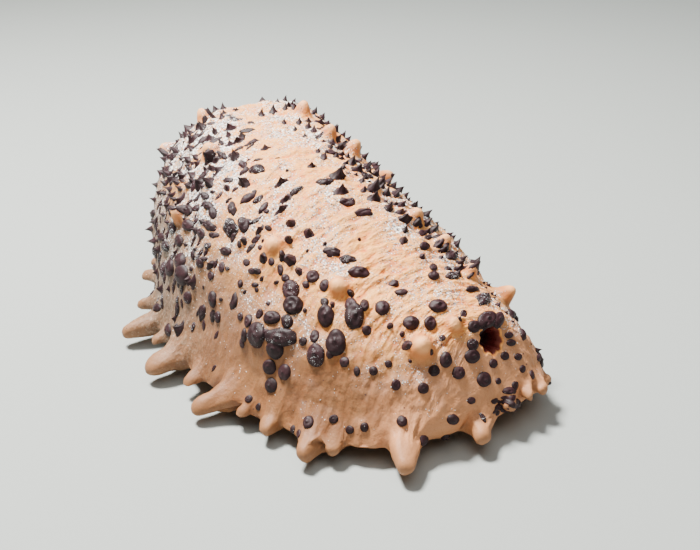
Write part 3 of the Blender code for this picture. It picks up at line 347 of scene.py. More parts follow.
def curve_slopes(knots, values):
    """Slopes at the knots that make the curve through them smooth."""
    rise = np.diff(values, axis=0) / np.diff(knots)[:, None]
    near = np.diff(knots)[:-1, None]
    far = np.diff(knots)[1:, None]
    middle = (rise[:-1] * far + rise[1:] * near) / (near + far)
    return np.vstack([rise[:1], middle, rise[-1:]])


RING_SLOPES = curve_slopes(RINGS[:, 0], RINGS[:, 1:])


def ring_values(share):
    """The sizes of RINGS at any share of the way."""
    return hermite(np.clip(share, 0.0, 1.0), RINGS[:, 0], RINGS[:, 1:], RING_SLOPES)


def body_bend(share):
    """How far the body's middle line swings to its right."""
    rear = np.maximum(0.0, (share - 0.4) / 0.6)
    front = np.maximum(0.0, (0.6 - share) / 0.6)
    return -REAR_BEND * rear ** 2.6 - FRONT_BEND * front ** 1.6


def skin_point(share, degrees):
    """Points of the plain body; 0 degrees is the left side, 90 the back, 180 the right side."""
    share, degrees = np.broadcast_arrays(np.asarray(share, float), np.asarray(degrees, float))
    half_width, back_y, back_z, belly_y, belly_z, waist = np.moveaxis(ring_values(share), -1, 0)
    turn = np.radians(degrees)
    pleat = 1 + VENT_PLEAT_DEPTH * np.clip((share - 0.95) / 0.05, 0, 1) * np.cos(VENT_PLEATS * turn)
    front = smooth_step(0.04, 0.26, share) * smooth_step(0.66, 0.36, share) * (np.sin(turn) > 0)
    spread = pleat * (1 + FRONT_SHOULDER * front * np.sin(2 * turn) ** 2)
    across = spread * np.cos(turn)
    up = spread * np.sin(turn)
    height = np.where(up >= 0, waist + (1 - waist) * up, waist + waist * up)
    height = np.maximum(height, (UNDERSIDE_Z - belly_z) / np.maximum(back_z - belly_z, 1.0))
    ends = np.clip(np.minimum(share - 0.05, 0.97 - share) / 0.12, 0.0, 1.0)
    flare = 1 + FOOT_FLARE * ends * bell(height, 0.0, 0.17)
    tuck = 1 - RIGHT_TUCK * smooth_step(0.70, 0.92, share) * smooth_step(0.1, -0.5, across)
    lean = FRONT_LEAN * smooth_step(0.0, 0.24, share) * smooth_step(0.64, 0.32, share) * height ** 2
    x = half_width * across * flare * tuck + body_bend(share) - lean - CENTRE_X
    y = belly_y + (back_y - belly_y) * height - CENTRE_Y
    z = belly_z + (back_z - belly_z) * height
    return np.stack([x, y, z], axis=-1)


def skin_frame(share, degrees):
    """Surface point, outward normal, direction to the vent and direction round the body."""
    step = 0.004
    ahead = skin_point(np.minimum(share + step, 1.0), degrees)
    behind = skin_point(np.maximum(share - step, 0.0), degrees)
    along = unit(ahead - behind)
    around = skin_point(share, degrees + 1.0) - skin_point(share, degrees - 1.0)
    normal = unit(np.cross(along, around))
    return skin_point(share, degrees), normal, along, np.cross(normal, along)


def hashed(cell, seed):
    """Repeatable whole numbers for cells of space."""
    mixed = cell[..., 0] * 73856093 ^ cell[..., 1] * 19349663 ^ cell[..., 2] * 83492791
    mixed = (mixed ^ (seed * 2654435761)) & 0xFFFFFFFF
    mixed = ((mixed ^ (mixed >> 15)) * 2246822519) & 0xFFFFFFFF
    mixed = ((mixed ^ (mixed >> 13)) * 3266489917) & 0xFFFFFFFF
    return mixed ^ (mixed >> 16)


def lattice_noise(points, size, seed):
    """Smooth noise, about -1 to 1, with features of the given size."""
    scaled = points / size
    cell = np.floor(scaled).astype(np.int64)
    local = scaled - cell
    ease = local ** 3 * (local * (local * 6 - 15) + 10)
    total = np.zeros(points.shape[:-1])
    for corner in range(8):
        offset = np.array((corner & 1, (corner >> 1) & 1, (corner >> 2) & 1))
        key = hashed(cell + offset, seed)
        slopes = np.stack([(key >> shift & 0x3FF) / 511.5 - 1 for shift in (0, 10, 20)], axis=-1)
        weight = np.prod(np.where(offset, ease, 1 - ease), axis=-1)
        total += weight * np.sum(slopes * (local - offset), axis=-1)
    return 1.5 * total


def layered_noise(points, size, seed, layers):
    """Noise with finer and finer noise laid over it, each half as deep as the last."""
    total = 0.0
    for layer in range(layers):
        total = total + 0.5 ** layer * lattice_noise(points, size / 2 ** layer, seed + layer)
    return total


def mesh_object(name, vertices, faces, uv=None, **values):
    """Mesh from points in millimetres, with a map for each face corner and values for each point."""
    mesh = bpy.data.meshes.new(name)
    mesh.from_pydata((np.asarray(vertices) * MM).tolist(), [], faces)
    mesh.shade_smooth()
    if uv is not None:
        layer = mesh.uv_layers.new(name="OFBake")
        layer.data.foreach_set("uv", np.asarray(uv, dtype=np.float32).ravel())
    for key, data in values.items():
        attribute = mesh.attributes.new(key, "FLOAT", "POINT")
        attribute.data.foreach_set("value", np.asarray(data, dtype=np.float32).ravel())
    item = bpy.data.objects.new(name, mesh)
    bpy.context.scene.collection.objects.link(item)
    return item


def closed_grid(rows, start=None, end=None):
    """Vertices, faces and map of rows of rings (rows, columns, 3), closed at each end that has a pole."""
    count, sides = rows.shape[:2]
    vertices = rows.reshape(-1, 3)
    index = np.arange(count * sides).reshape(count, sides)
    ahead = np.roll(index, -1, axis=1)
    quads = np.stack([index[:-1], index[1:], ahead[1:], ahead[:-1]], axis=-1).reshape(-1, 4)
    faces = quads.tolist()
    u = np.arange(sides + 1) / sides
    v = np.linspace(0.0, 1.0, count + 2)[1:-1]
    left, low = np.meshgrid(u[:-1], v[:-1])
    right, high = np.meshgrid(u[1:], v[1:])
    uv = np.stack([left, low, left, high, right, high, right, low], axis=-1).reshape(-1, 2).tolist()
    if start is not None:
        pole = len(vertices)
        vertices = np.vstack([vertices, start])
        for j in range(sides):
            faces.append((pole, int(index[0, j]), int(ahead[0, j])))
            uv += [((u[j] + u[j + 1]) / 2, 0.0), (u[j], v[0]), (u[j + 1], v[0])]
    if end is not None:
        pole = len(vertices)
        vertices = np.vstack([vertices, end])
        for j in range(sides):
            faces.append((int(index[-1, j]), pole, int(ahead[-1, j])))
            uv += [(u[j], v[-1]), ((u[j] + u[j + 1]) / 2, 1.0), (u[j + 1], v[-1])]
    return vertices, faces, uv


def grid_normals(rows):
    """Outward normals of rows of rings whose columns close on themselves."""
    along = np.gradient(rows, axis=0)
    around = np.roll(rows, -1, axis=1) - np.roll(rows, 1, axis=1)
    return unit(np.cross(along, around))


def even_shares(count):
    """Shares that part the flank into steps of about one length, closer near the vent."""
    fine = np.linspace(0.0, 1.0, 4001)
    line = 0.5 * (skin_point(fine, 60.0) + skin_point(fine, 5.0))
    steps = np.linalg.norm(np.diff(line, axis=0), axis=1)
    middle = 0.5 * (fine[1:] + fine[:-1])
    steps = steps * (1 + 0.45 * smooth_step(0.45, 0.9, middle))
    travelled = np.concatenate([[0.0], np.cumsum(steps)])
    return np.interp(np.linspace(0.0, travelled[-1], count), travelled, fine)


def papilla_frame(share, degrees, radius, turn):
    """Root of a papilla on the skin and lifted off the floor, then its three directions: out, side, up."""
    root, normal, _, _ = skin_frame(share, degrees)
    out = unit(np.array((normal[0], normal[1], 0.0)))
    swing = math.radians(turn)
    sign = 1.0 if out[0] > 0 else -1.0
    out = unit(np.array((out[0] * math.cos(swing) - out[1] * math.sin(swing) * sign,
                         out[1] * math.cos(swing) + out[0] * math.sin(swing) * sign, 0.0)))
    up = np.array((0.0, 0.0, 1.0))
    lifted = np.array((root[0], root[1], max(root[2], 0.9 * radius + 2.4)))
    return root, lifted, out, np.cross(up, out), up


def raise_papillae(points, plain):
    """Draws the skin out into the papillae; returns the new points and how far each is up a papilla."""
    shape = np.array(PAPILLA_SHAPE)
    slopes = curve_slopes(shape[:, 0], shape[:, 1:])
    tipness = np.zeros(points.shape[:2])
    for number, (share, degrees, length, radius, turn) in enumerate(PAPILLAE):
        root, lifted, out, side, up = papilla_frame(share, degrees, radius, turn)
        reach = 1.45 * radius + 1.2
        offset = plain - root
        near = np.linalg.norm(offset, axis=-1) < 1.6 * reach
        across = offset @ side
        normal = skin_frame(share, degrees)[1]
        climb = unit(np.cross(normal, side))
        climb = climb if climb[2] > 0 else -climb
        rise = offset @ climb
        ring = np.hypot(across, rise) / reach
        near &= (ring < 1.0) & (np.abs(offset @ normal) < 1.1 * reach)
        rho = ring[near]
        turned = np.arctan2(rise[near], across[near])
        stance = hermite(np.clip(rho, 0.0, shape[-1, 0]), shape[:, 0], shape[:, 1:], slopes)
        lateral, height = np.moveaxis(stance, -1, 0)
        lump = 1 + 0.06 * np.sin(3 * turned + number) + 0.05 * np.sin(height * 9 + number * 2.1)
        lateral = lateral * radius * lump
        droop = min(0.14 * length, max(lifted[2] - 0.5 * radius - 1.6, 0.0))
        curl = 0.5 * math.sin(number * 2.4)
        sag = droop * np.clip(height, 0, 1) ** 1.5
        centre = lifted + out * (height * length)[:, None] - up * sag[:, None]
        centre = centre + side * (curl * height ** 2)[:, None]
        upward = lateral * np.sin(turned) * PAPILLA_FLATNESS
        finger = centre + side * (lateral * np.cos(turned))[:, None] + up * upward[:, None]
        blend = smooth_step(1.0, 0.74, rho)[:, None]
        points[near] = points[near] * (1 - blend) + finger * blend
        tipness[near] = np.maximum(tipness[near], np.clip(height, 0, 1) * blend[:, 0])
    return points, tipness


def relief(plain, share, degrees, along):
    """Height of mounds, folds and swellings over the plain body, and how much of a mound each point is."""
    rows = np.stack([plain[..., 0], along, plain[..., 2]], axis=-1)
    lying = np.sin(np.radians(degrees))
    back = smooth_step(0.25, 0.8, lying)
    above = smooth_step(-0.15, 0.25, lying)
    rear = smooth_step(0.93, 0.99, share)
    swells = layered_noise(plain, 27.0, 3, 2) * above
    humps = 0.50 * lattice_noise(plain, 10.0, 11) * (0.3 + 0.7 * above)
    lumps = 0.28 * lattice_noise(plain, 4.6, 17) * (1 - 0.5 * rear)
    creases = 1 - 2.2 * np.abs(lattice_noise(rows / np.array((11.0, 3.4, 11.0)), 1.0, 23))
    folds = 1 - 2.2 * np.abs(lattice_noise(rows / np.array((26.0, 9.0, 15.0)), 1.0, 29))
    fold_depth = 0.42 - 0.16 * smooth_step(0.7, 0.85, share)
    height = swells + humps + lumps + 0.30 * creases * back * (1 - rear)
    height = height + fold_depth * folds * (1 - 0.6 * back) * above
    mound = np.zeros(share.shape)
    for at, angle, radius, tall in MOUNDS:
        root, normal, _, _ = skin_frame(at, angle)
        offset = plain - root
        beside = np.linalg.norm(offset - (offset @ normal)[..., None] * normal, axis=-1)
        far = np.linalg.norm(offset, axis=-1) > 2.2 * radius
        rise = np.where(far, 0.0, np.exp(-(beside / (MOUND_WIDTH * radius)) ** 2.6))
        height = height * (1 - 0.6 * rise) + MOUND_RISE * tall * rise
        mound = np.maximum(mound, rise)
    for at, angle, long, wide, _, kind in LARGE_WARTS + MIDDLE_WARTS:
        root = skin_point(at, angle)
        size = math.sqrt(long * wide)
        beside = np.sum((plain - root) ** 2, axis=-1)
        height = height + WART_SKIN_RISE[kind] * size * np.exp(-beside / (1.45 * size) ** 2)
    return height, mound


def dust_over(plain, share, degrees, up):
    """How thickly pale sand lies: most along the left shoulder, the far back and the front."""
    shoulder = bell(degrees, 48, 27) * bell(share, 0.47, 0.17)
    ridge = bell(degrees, 112, 24) * bell(share, 0.62, 0.28)
    front = smooth_step(0.62, 0.34, share) * smooth_step(0.2, 0.8, up)
    cloud = layered_noise(plain, 13.0, 57, 3)
    base = 0.62 * shoulder + 0.28 * ridge + 0.30 * front + 0.34 * smooth_step(0.25, 0.85, up)
    return np.clip(base * (1 + 0.9 * cloud) + 0.05 * cloud, 0.0, 1.0)


def make_skin():
    """The whole skin in one sheet, from the seat of the mouth to the floor of the vent."""
    degrees = np.concatenate([
        np.linspace(TOP_FROM, TOP_TO, TOP_COLUMNS, endpoint=False),
        np.linspace(TOP_TO, TOP_FROM + 360.0, UNDER_COLUMNS, endpoint=False),
    ])
    share_line = even_shares(BODY_ROWS)
    share, angle = np.meshgrid(share_line, degrees, indexing="ij")
    plain = skin_point(share, angle)
    steps = np.linalg.norm(np.diff(plain, axis=0), axis=-1)
    along = np.concatenate([np.zeros((1, len(degrees))), np.cumsum(steps, axis=0)])
    along = along - along[np.searchsorted(share_line, 0.5)]
    height, mound = relief(plain, share, angle, along)
    edge = smooth_step(0.0, 0.05, share) * smooth_step(1.0, 0.955, share)
    points = plain + grid_normals(plain) * (height * edge)[..., None]
    points, tip = raise_papillae(points, plain)
    normals = grid_normals(points)
    up = normals[..., 2]
    lying = smooth_step(0.1, 0.7, up) * (1 - 0.75 * tip) * (1 - 0.7 * mound)
    stripes = np.stack([points[..., 0] / 8.0, along / 2.5, points[..., 2] / 8.0], axis=-1)
    threads = np.stack([points[..., 0] / 4.0, along / 1.4, points[..., 2] / 4.0], axis=-1)
    crest = 0.62 * lattice_noise(stripes, 1.0, 79) + 0.38 * lattice_noise(threads, 1.0, 83)
    pebbles = 0.5 * lattice_noise(points, 1.7, 71) + 0.5 * lattice_noise(points, 3.0, 73)
    grain = 0.80 * crest * lying + (0.14 + 0.46 * lying) * pebbles * (1 - 0.7 * mound)
    # The crest value goes to the finish, which paints shade into the low places of this relief.
    crest = np.clip(0.5 + 0.75 * crest * lying + 0.45 * pebbles, 0, 1)
    points = points + normals * (grain * edge * (1 - 0.4 * tip))[..., None]
    points[..., 2] = np.maximum(points[..., 2], np.where(tip > 0.05, LOWEST_PAPILLA_Z, LOWEST_SKIN_Z))

    rim = points[-1]
    middle = rim.mean(axis=0)
    back = ring_values(np.array(1.0))[1:3]
    belly = ring_values(np.array(1.0))[3:5]
    rail = unit(np.array((0.0, back[0] - belly[0], back[1] - belly[1])))
    inward = np.array((0.0, -rail[2], rail[1]))
    lining = np.array(VENT_LINING)
    place = np.linspace(0.0, len(lining) - 1, VENT_ROWS + 1)[1:]
    scale = np.interp(place, np.arange(len(lining)), lining[:, 0])
    depth = np.interp(place, np.arange(len(lining)), lining[:, 1])
    spread = rim - middle
    turn = np.radians(degrees)
    ripple = 1 + 0.025 * np.cos(VENT_PLEATS * turn + 0.4) + 0.012 * np.cos(23 * turn)
    funnel = (middle + scale[:, None, None] * spread * ripple[None, :, None]
              + depth[:, None, None] * inward)
    seat_scale = np.array((0.30, 0.55, 0.80))
    seat_middle = points[0].mean(axis=0)
    seat = seat_middle + seat_scale[:, None, None] * (points[0] - seat_middle)
    rows = np.concatenate([seat, points, funnel])
    vertices, faces, uv = closed_grid(rows, seat_middle, middle + VENT_FLOOR_DEPTH * inward)

    def spread_out(values, at_seat, on_lining):
        """One value for each vertex, with the seat and the vent's lining added."""
        lower = np.full(seat.shape[:2], at_seat)
        deeper = np.broadcast_to(np.asarray(on_lining)[:, None], funnel.shape[:2])
        return np.concatenate([lower.ravel(), values.ravel(), deeper.ravel(), [at_seat, deeper[-1, 0]]])

    none = np.zeros(VENT_ROWS)
    dust = dust_over(plain, share, angle, np.clip(up, 0, 1)) * (1 - 0.6 * tip) * smooth_step(0.0, 0.4, up)
    dust = dust * (1 - 0.75 * mound) * (1 - tip) * smooth_step(8.0, 26.0, plain[..., 2])
    depth_share = depth / depth.max()
    rim_share = VENT_RIM_VALUE * smooth_step(0.975, 1.0, share)
    in_vent = VENT_RIM_VALUE + (1 - VENT_RIM_VALUE) * depth_share
    skin = mesh_object(
        "skin", vertices, faces, uv,
        dust=spread_out(dust, 0.0, none),
        mound=spread_out(mound, 0.0, none),
        tip=spread_out(tip, 0.0, none),
        vent=spread_out(rim_share, 0.0, in_vent),
        along=spread_out(along, 0.0, np.full(VENT_ROWS, along[-1].mean())),
        crest=spread_out(crest, 0.5, none + 0.5),
        # Highest where the skin faces sideways; the finish paints the flanks darker there, partly as painted
        # shade.
        flank=spread_out(1 - smooth_step(0.42, 0.93, np.sin(np.radians(angle))), 0.0, none),
    )
    return skin, vertices, faces


def small_warts(draw):
    """Scatter of small warts that keep clear of the others."""
    chosen = []
    taken = [(skin_point(row[0], row[1]), row[2]) for row in LARGE_WARTS + MIDDLE_WARTS]
    places = np.array([place for place, _ in taken])
    sizes = np.array([size for _, size in taken])
    tries = 0
    while len(chosen) < SMALL_WART_COUNT and tries < 9000:
        tries += 1
        share = draw.uniform(0.05, 0.97)
        angle = draw.uniform(-6, 186)
        radius = 0.55 + 0.95 * draw.random() ** 1.5
        fold = angle if angle <= 90 else 180 - angle
        band = math.exp(-((fold - 48) / 19) ** 2)
        weight = band + 0.35 * math.exp(-((fold - 18) / 14) ** 2) + 0.16 * (fold > 66)
        seen = 0.42 < share < 0.98 and -5 < angle < 122
        if seen:
            weight = 0.55 * weight * (1 - 0.75 * smooth_step(0.66, 0.76, share) * (fold < 40))
        if draw.random() > weight * min(1.0, max(share - 0.02, 0.0) / 0.12):
            continue
        place = skin_point(share, angle)
        if np.any(np.linalg.norm(places - place, axis=1) < radius + 0.95 * sizes + 0.5):
            continue
        places = np.vstack([places, place])
        sizes = np.append(sizes, radius)
        stretch = draw.uniform(1.0, 1.6)
        kind = THORN if 36 < angle < 144 else DOME
        chosen.append((share, angle, radius * stretch ** 0.5, radius / stretch ** 0.5,
                       draw.uniform(60, 125), kind))
    return chosen


def crowded_warts(draw, count, middle, spread, thorns):
    """Long warts that crowd one part of the body, set across it and touching here and there."""
    chosen = []
    taken = [(skin_point(row[0], row[1]), row[2]) for row in LARGE_WARTS + MIDDLE_WARTS]
    places = np.array([place for place, _ in taken])
    sizes = np.array([size for _, size in taken])
    tries = 0
    while len(chosen) < count and tries < 4000:
        tries += 1
        share = draw.gauss(middle[0], spread[0])
        angle = draw.gauss(middle[1], spread[1])
        long = draw.uniform(1.1, 3.0)
        wide = long * draw.uniform(0.40, 0.62)
        if abs(share - middle[0]) > 2 * spread[0] or abs(angle - middle[1]) > 2 * spread[1]:
            continue
        place = skin_point(share, angle)
        if np.any(np.linalg.norm(places - place, axis=1) < 0.62 * (long + sizes)):
            continue
        places = np.vstack([places, place])
        sizes = np.append(sizes, 0.8 * long)
        kind = THORN if draw.random() < thorns else PATCH
        chosen.append((share, angle, long, wide, draw.gauss(92, 14), kind))
    return chosen


def wart_height(kind, rho, turned, size, draw):
    """Height of a wart over its foot, from its middle (rho 0) to its rim (rho 1)."""
    phase = draw.uniform(0, math.tau)
    if kind == DOME:
        dome = (1 - rho ** 3.0) ** 0.55 * (1 - 0.08 * bell(rho, 0.36, 0.16))
        nipple = 0.22 * bell(rho, 0.0, 0.15)
        return size * WART_HEIGHTS[DOME] * (0.82 * dome + nipple)
    if kind == PATCH:
        lumps = 1 + 0.22 * np.cos(3 * turned + phase) * rho + 0.16 * np.cos(5 * turned - phase) * rho
        hollow = 1 - 0.25 * bell(rho, 0.0, 0.3)
        return size * WART_HEIGHTS[PATCH] * (1 - rho ** 2) ** 0.7 * lumps * hollow
    ribs = 1 + 0.16 * np.cos(5 * turned + phase) * 4 * rho * (1 - rho)
    thorn = 0.82 * np.clip(1 - rho, 0, 1) ** 2.3 + 0.18 * (1 - rho ** 2)
    return size * WART_HEIGHTS[THORN] * thorn * ribs


def wart_patch(tree, row, rings, sides, draw):
    """Rings of a wart on the skin, its top, how near its rim each ring is, and whether it lies well."""
    share, angle, long, wide, turn, kind = row
    long, wide = WART_SPREAD * long, WART_SPREAD * wide
    root, normal, along, around = skin_frame(share, angle)
    swing = math.radians(turn)
    major = along * math.cos(swing) + around * math.sin(swing)
    minor = np.cross(normal, major)
    size = math.sqrt(long * wide)
    rho = np.linspace(0.0, 1.0, rings + 1)[1:] ** 0.85
    rho = np.append(rho, 1.0)
    turned = math.tau * np.arange(sides) / sides
    outline = np.ones(sides)
    for wave in range(2, 7):
        swell = WART_UNEVENNESS[kind] * draw.uniform(-1, 1) / math.sqrt(wave - 1)
        outline += swell * np.cos(wave * turned + draw.uniform(0, math.tau))
    rho_grid, turn_grid = np.meshgrid(rho, turned, indexing="ij")
    shrink = np.where(np.arange(len(rho)) == len(rho) - 1, 1.015, 1.0)[:, None]
    u = long * rho_grid * outline * shrink * np.cos(turn_grid)
    v = wide * rho_grid * outline * shrink * np.sin(turn_grid)
    tall = wart_height(kind, rho_grid, turn_grid, size, draw)
    places = np.stack([u, v, tall * 0 + share * 900], axis=-1)
    tall = tall + WART_ROUGHNESS[kind] * size * lattice_noise(places, 0.45 * size, 5)
    tall[-2] = np.minimum(tall[-2], 0.10 * size)
    tall[-1] = -WART_ROOT
    lean = (0.34 if kind == THORN else 0.12) * size * np.array((draw.uniform(-1, 1), draw.uniform(-1, 1)))
    height_share = np.clip(tall / (size * WART_HEIGHTS[kind]), 0, 1) ** 1.5
    above = 9.0
    cast_length = 14.0
    start = root + normal * above
    spots = start + u[..., None] * major + v[..., None] * minor
    floor = np.zeros(rho_grid.shape)
    down = Vector(-normal)
    for i in range(spots.shape[0]):
        for j in range(spots.shape[1]):
            hit = tree.ray_cast(Vector(spots[i, j]), down, cast_length)
            floor[i, j] = above - hit[3] if hit[0] is not None else 0.0
    centre_hit = tree.ray_cast(Vector(start), down, cast_length)
    centre_floor = above - centre_hit[3] if centre_hit[0] is not None else 0.0
    points = (root + (u + lean[0] * height_share)[..., None] * major
              + (v + lean[1] * height_share)[..., None] * minor + (floor + tall)[..., None] * normal)
    peak = float(wart_height(kind, np.zeros(1), np.zeros(1), size, random.Random(0))[0])
    top = root + normal * (centre_floor + peak) + major * lean[0] + minor * lean[1]
    settled = np.ptp(floor) < 2.0 * size + 1.0
    return points[::-1], top, rho_grid[::-1], settled


def make_warts(name, rows, grid_size, tree, seed):
    """Joined warts, each with its own cell in the map."""
    rings, sides = grid_size
    draw = random.Random(seed)
    cells = math.ceil(math.sqrt(len(rows)))
    vertices, faces, uv = [], [], []
    rims, dusts, tones = [], [], []
    start = 0
    for number, row in enumerate(rows):
        points, top, rho, settled = wart_patch(tree, row, rings, sides, draw)
        if not settled:
            continue
        grid, patch, _ = closed_grid(points, None, top)
        angle = math.tau * np.arange(sides) / sides
        radius = np.append(0.46 * np.linspace(1.0, 0.06, len(points)), 0.0)
        corner = np.array((number % cells, number // cells), float) + 0.5
        circle = np.stack([np.cos(angle), np.sin(angle)], axis=-1)
        flat = radius[:-1, None, None] * circle
        flat = np.vstack([flat.reshape(-1, 2), [[0.0, 0.0]]])
        spots = (corner + flat) / cells
        for face in patch:
            faces.append([start + k for k in face])
            uv.extend(spots[k] for k in face)
        vertices.append(grid)
        rims.append(np.append(rho.ravel(), 0.0))
        place = (np.array([value]) for value in (grid[0], row[0], row[1], 1.0))
        base = float(dust_over(*place)[0])
        kind = row[5]
        clump = 0.45 if kind != THORN and draw.random() < 0.24 else 0.0
        dusty = min(1.0, 0.30 * base + WART_SAND[kind] + 0.16 * draw.random() ** 2 + clump)
        dusts.append(np.full(len(grid), dusty))
        tones.append(np.full(len(grid), draw.random()))
        start += len(grid)
    return mesh_object(name, np.vstack(vertices), faces, uv, rim=np.concatenate(rims),
                       dust=np.concatenate(dusts), tone=np.concatenate(tones))


def make_mouth():
    """Folded disc in the seat under the front end, with the mouth as a pit in its middle."""
    sides = 160
    turned = math.tau * np.arange(sides) / sides
    top = -SEAT_GAP
    low = top - MOUTH_THICKNESS
    profile = np.array((
        (0.30, top), (0.70, top), (0.95, top), (1.0, top - 0.5), (1.01, top - 1.6), (0.99, top - 2.8),
        (0.95, low + 0.3), (0.88, low), (0.76, low + 0.15), (0.64, low + 0.1), (0.52, low - 0.1), (0.42, low),
        (0.34, low + 0.3), (0.27, low + 0.9), (0.20, low + 1.7), (0.13, low + 2.3), (0.06, low + 2.5),
    ))
    fine = np.linspace(0, len(profile) - 1, 70)
    radius = np.interp(fine, np.arange(len(profile)), profile[:, 0]) * MOUTH_RADIUS
    level = np.interp(fine, np.arange(len(profile)), profile[:, 1])
    below = smooth_step(6.0, 8.0, fine) * smooth_step(16.0, 13.0, fine)
    folds = 0.30 * np.cos(TENTACLES * turned) + 0.14 * np.cos(3 * TENTACLES * turned + 1.0)
    z = MOUTH_AT[2] + level[:, None] + below[:, None] * folds
    r = radius[:, None] * (1 + 0.012 * np.cos(27 * turned))
    rows = np.stack([MOUTH_AT[0] + r * np.cos(turned), MOUTH_AT[1] + r * np.sin(turned), z + 0 * r], axis=-1)
    rows[..., 2] += 0.10 * lattice_noise(rows, 1.2, 91) * below[:, None]
    ends = [np.array((MOUTH_AT[0], MOUTH_AT[1], MOUTH_AT[2] + height)) for height in (top, low + 2.55)]
    vertices, faces, uv = closed_grid(rows[:, ::-1], ends[0], ends[1])
    pit = smooth_step(0.42, 0.15, radius / MOUTH_RADIUS) * (fine > 6)
    inner = np.append(np.repeat(pit, sides), [0.0, 1.0])
    return mesh_object("mouth_disc", vertices, faces, uv, inner=inner)


def tentacle_path(number):
    """Bezier points of a tentacle as reach and height, its heading and the size of its shield."""
    turn = math.tau * (number + 0.5) / TENTACLES
    out = np.array((math.sin(turn), -math.cos(turn), 0.0))
    forward = math.cos(turn)
    reach = TENTACLE_REACHES[number % 2] * (1 + 0.42 * max(forward, 0.0) - 0.26 * max(-forward, 0.0))
    shield = SHIELD_SIZES[number % 2]
    root_z = MOUTH_AT[2] - SEAT_GAP - MOUTH_THICKNESS + 0.15
    root = TENTACLE_ROOT_RING
    return out, ((root, root_z), (root + 0.8, root_z - 2.4), (reach, 5.4), (reach, 1.9)), shield


def make_tentacles():
    """Ring of short arched stalks, each with a lobed shield of small knobs at its end."""
    sides = 32
    turned = math.tau * np.arange(sides) / sides
    vertices, faces, uv, shields = [], [], [], []
    start = 0
    cells = math.ceil(math.sqrt(TENTACLES))
    for number in range(TENTACLES):
        out, path, shield = tentacle_path(number)
        path = np.array(path)
        side = np.cross((0.0, 0.0, 1.0), out)
        rows = []
        marks = []
        for t in np.linspace(0.0, 0.86, 20):
            weights = np.array(((1 - t) ** 3, 3 * t * (1 - t) ** 2, 3 * t * t * (1 - t), t ** 3))
            slopes = np.array((-3 * (1 - t) ** 2, 3 * (1 - t) ** 2 - 6 * t * (1 - t),
                               6 * t * (1 - t) - 3 * t * t, 3 * t * t))
            reach, level = weights @ path
            heading = out * (slopes @ path)[0] + np.array((0, 0, 1.0)) * (slopes @ path)[1]
            heading = unit(heading)
            other = np.cross(heading, side)
            radius = TENTACLE_STALK * (1.12 - 0.20 * t + 0.05 * math.sin(t * 40))
            centre = np.array((MOUTH_AT[0], MOUTH_AT[1], 0.0)) + out * reach + np.array((0, 0, level))
            rows.append(centre + radius * (np.outer(np.cos(turned), side) + np.outer(np.sin(turned), other)))
            marks.append(0.0)
        centre = np.array((MOUTH_AT[0], MOUTH_AT[1], 0.0)) + out * path[3, 0]
        lobes = 1 + 0.20 * np.cos(SHIELD_LOBES * turned + number) + 0.05 * np.cos(2 * SHIELD_LOBES * turned)
        for size, level in SHIELD_PROFILE:
            edge = 1 + (lobes - 1) * smooth_step(0.2, 0.9, size)
            ring = np.outer(np.cos(turned), side) - np.outer(np.sin(turned), out)
            knobs = 0.16 * np.cos(SHIELD_LOBES * turned + 12 * size + number) * (level < 1.5)
            spot = centre + shield * size * edge[:, None] * ring
            spot[:, 2] = level + knobs
            rows.append(spot)
            marks.append(1.0)
        rows = np.array(rows)
        grid, patch, flat = closed_grid(rows, rows[0].mean(axis=0), centre + np.array((0, 0, SHIELD_END_Z)))
        corner = np.array((number % cells, number // cells))
        for face in patch:
            faces.append([start + k for k in face])
        uv.extend((corner + 0.02 + 0.96 * np.array(flat)) / cells)
        vertices.append(grid)
        shields.append(np.append(np.repeat(marks, sides), [0.0, 1.0]))
        start += len(grid)
    return mesh_object("tentacle_ring", np.vstack(vertices), faces, uv, shield=np.concatenate(shields))


def share_over(belly_y):
    """Shares of the way along at which the belly stands over these y."""
    fine = np.linspace(0.0, 0.97, 2001)
    return np.interp(belly_y, ring_values(fine)[:, 3], fine)


def sole_spot(along, across):
    """Places over the floor, from -1 at the sole's front to 1 at its rear and -1 to 1 across it."""
    y = 0.5 * (SOLE_FRONT_Y + SOLE_REAR_Y) + 0.5 * (SOLE_REAR_Y - SOLE_FRONT_Y) * along
    share = share_over(y)
    x = body_bend(share) + across * SOLE_WIDTH * ring_values(share)[..., 0]
    return np.stack([x - CENTRE_X, y - CENTRE_Y, 0 * x], axis=-1)


def make_sole():
    """Creeping sole: a soft slab, wrinkled across, that carries the tube feet."""
    sides = 220
    turned = math.tau * np.arange(sides) / sides
    power = 2 / SOLE_ROUNDNESS
    sway = np.sign(np.sin(turned)) * np.abs(np.sin(turned)) ** power
    swing = np.sign(np.cos(turned)) * np.abs(np.cos(turned)) ** power
    rows = []
    for scale, level in SOLE_PROFILE:
        ring = sole_spot(sway * scale, swing * scale)
        ring[:, 2] = level
        rows.append(ring)
    for scale in np.linspace(0.92, 0.03, 86):
        ring = sole_spot(sway * scale, swing * scale)
        ring[:, 2] = SOLE_BOTTOM_Z
        rows.append(ring)
    rows = np.array(rows)
    stripes = rows / np.array((9.0, 2.6, 9.0))
    wrinkles = 0.16 * lattice_noise(stripes, 1.0, 33) + 0.14 * lattice_noise(rows, 3.2, 35)
    rows[7:, :, 2] = SOLE_BOTTOM_Z + np.maximum(wrinkles[7:], -0.35)
    rows[3:7, :, 2] += wrinkles[3:7]
    top = rows[0].mean(axis=0)
    bottom = rows[-1].mean(axis=0)
    vertices, faces, uv = closed_grid(rows[:, ::-1], top, bottom)
    return mesh_object("sole_slab", vertices, faces, uv)


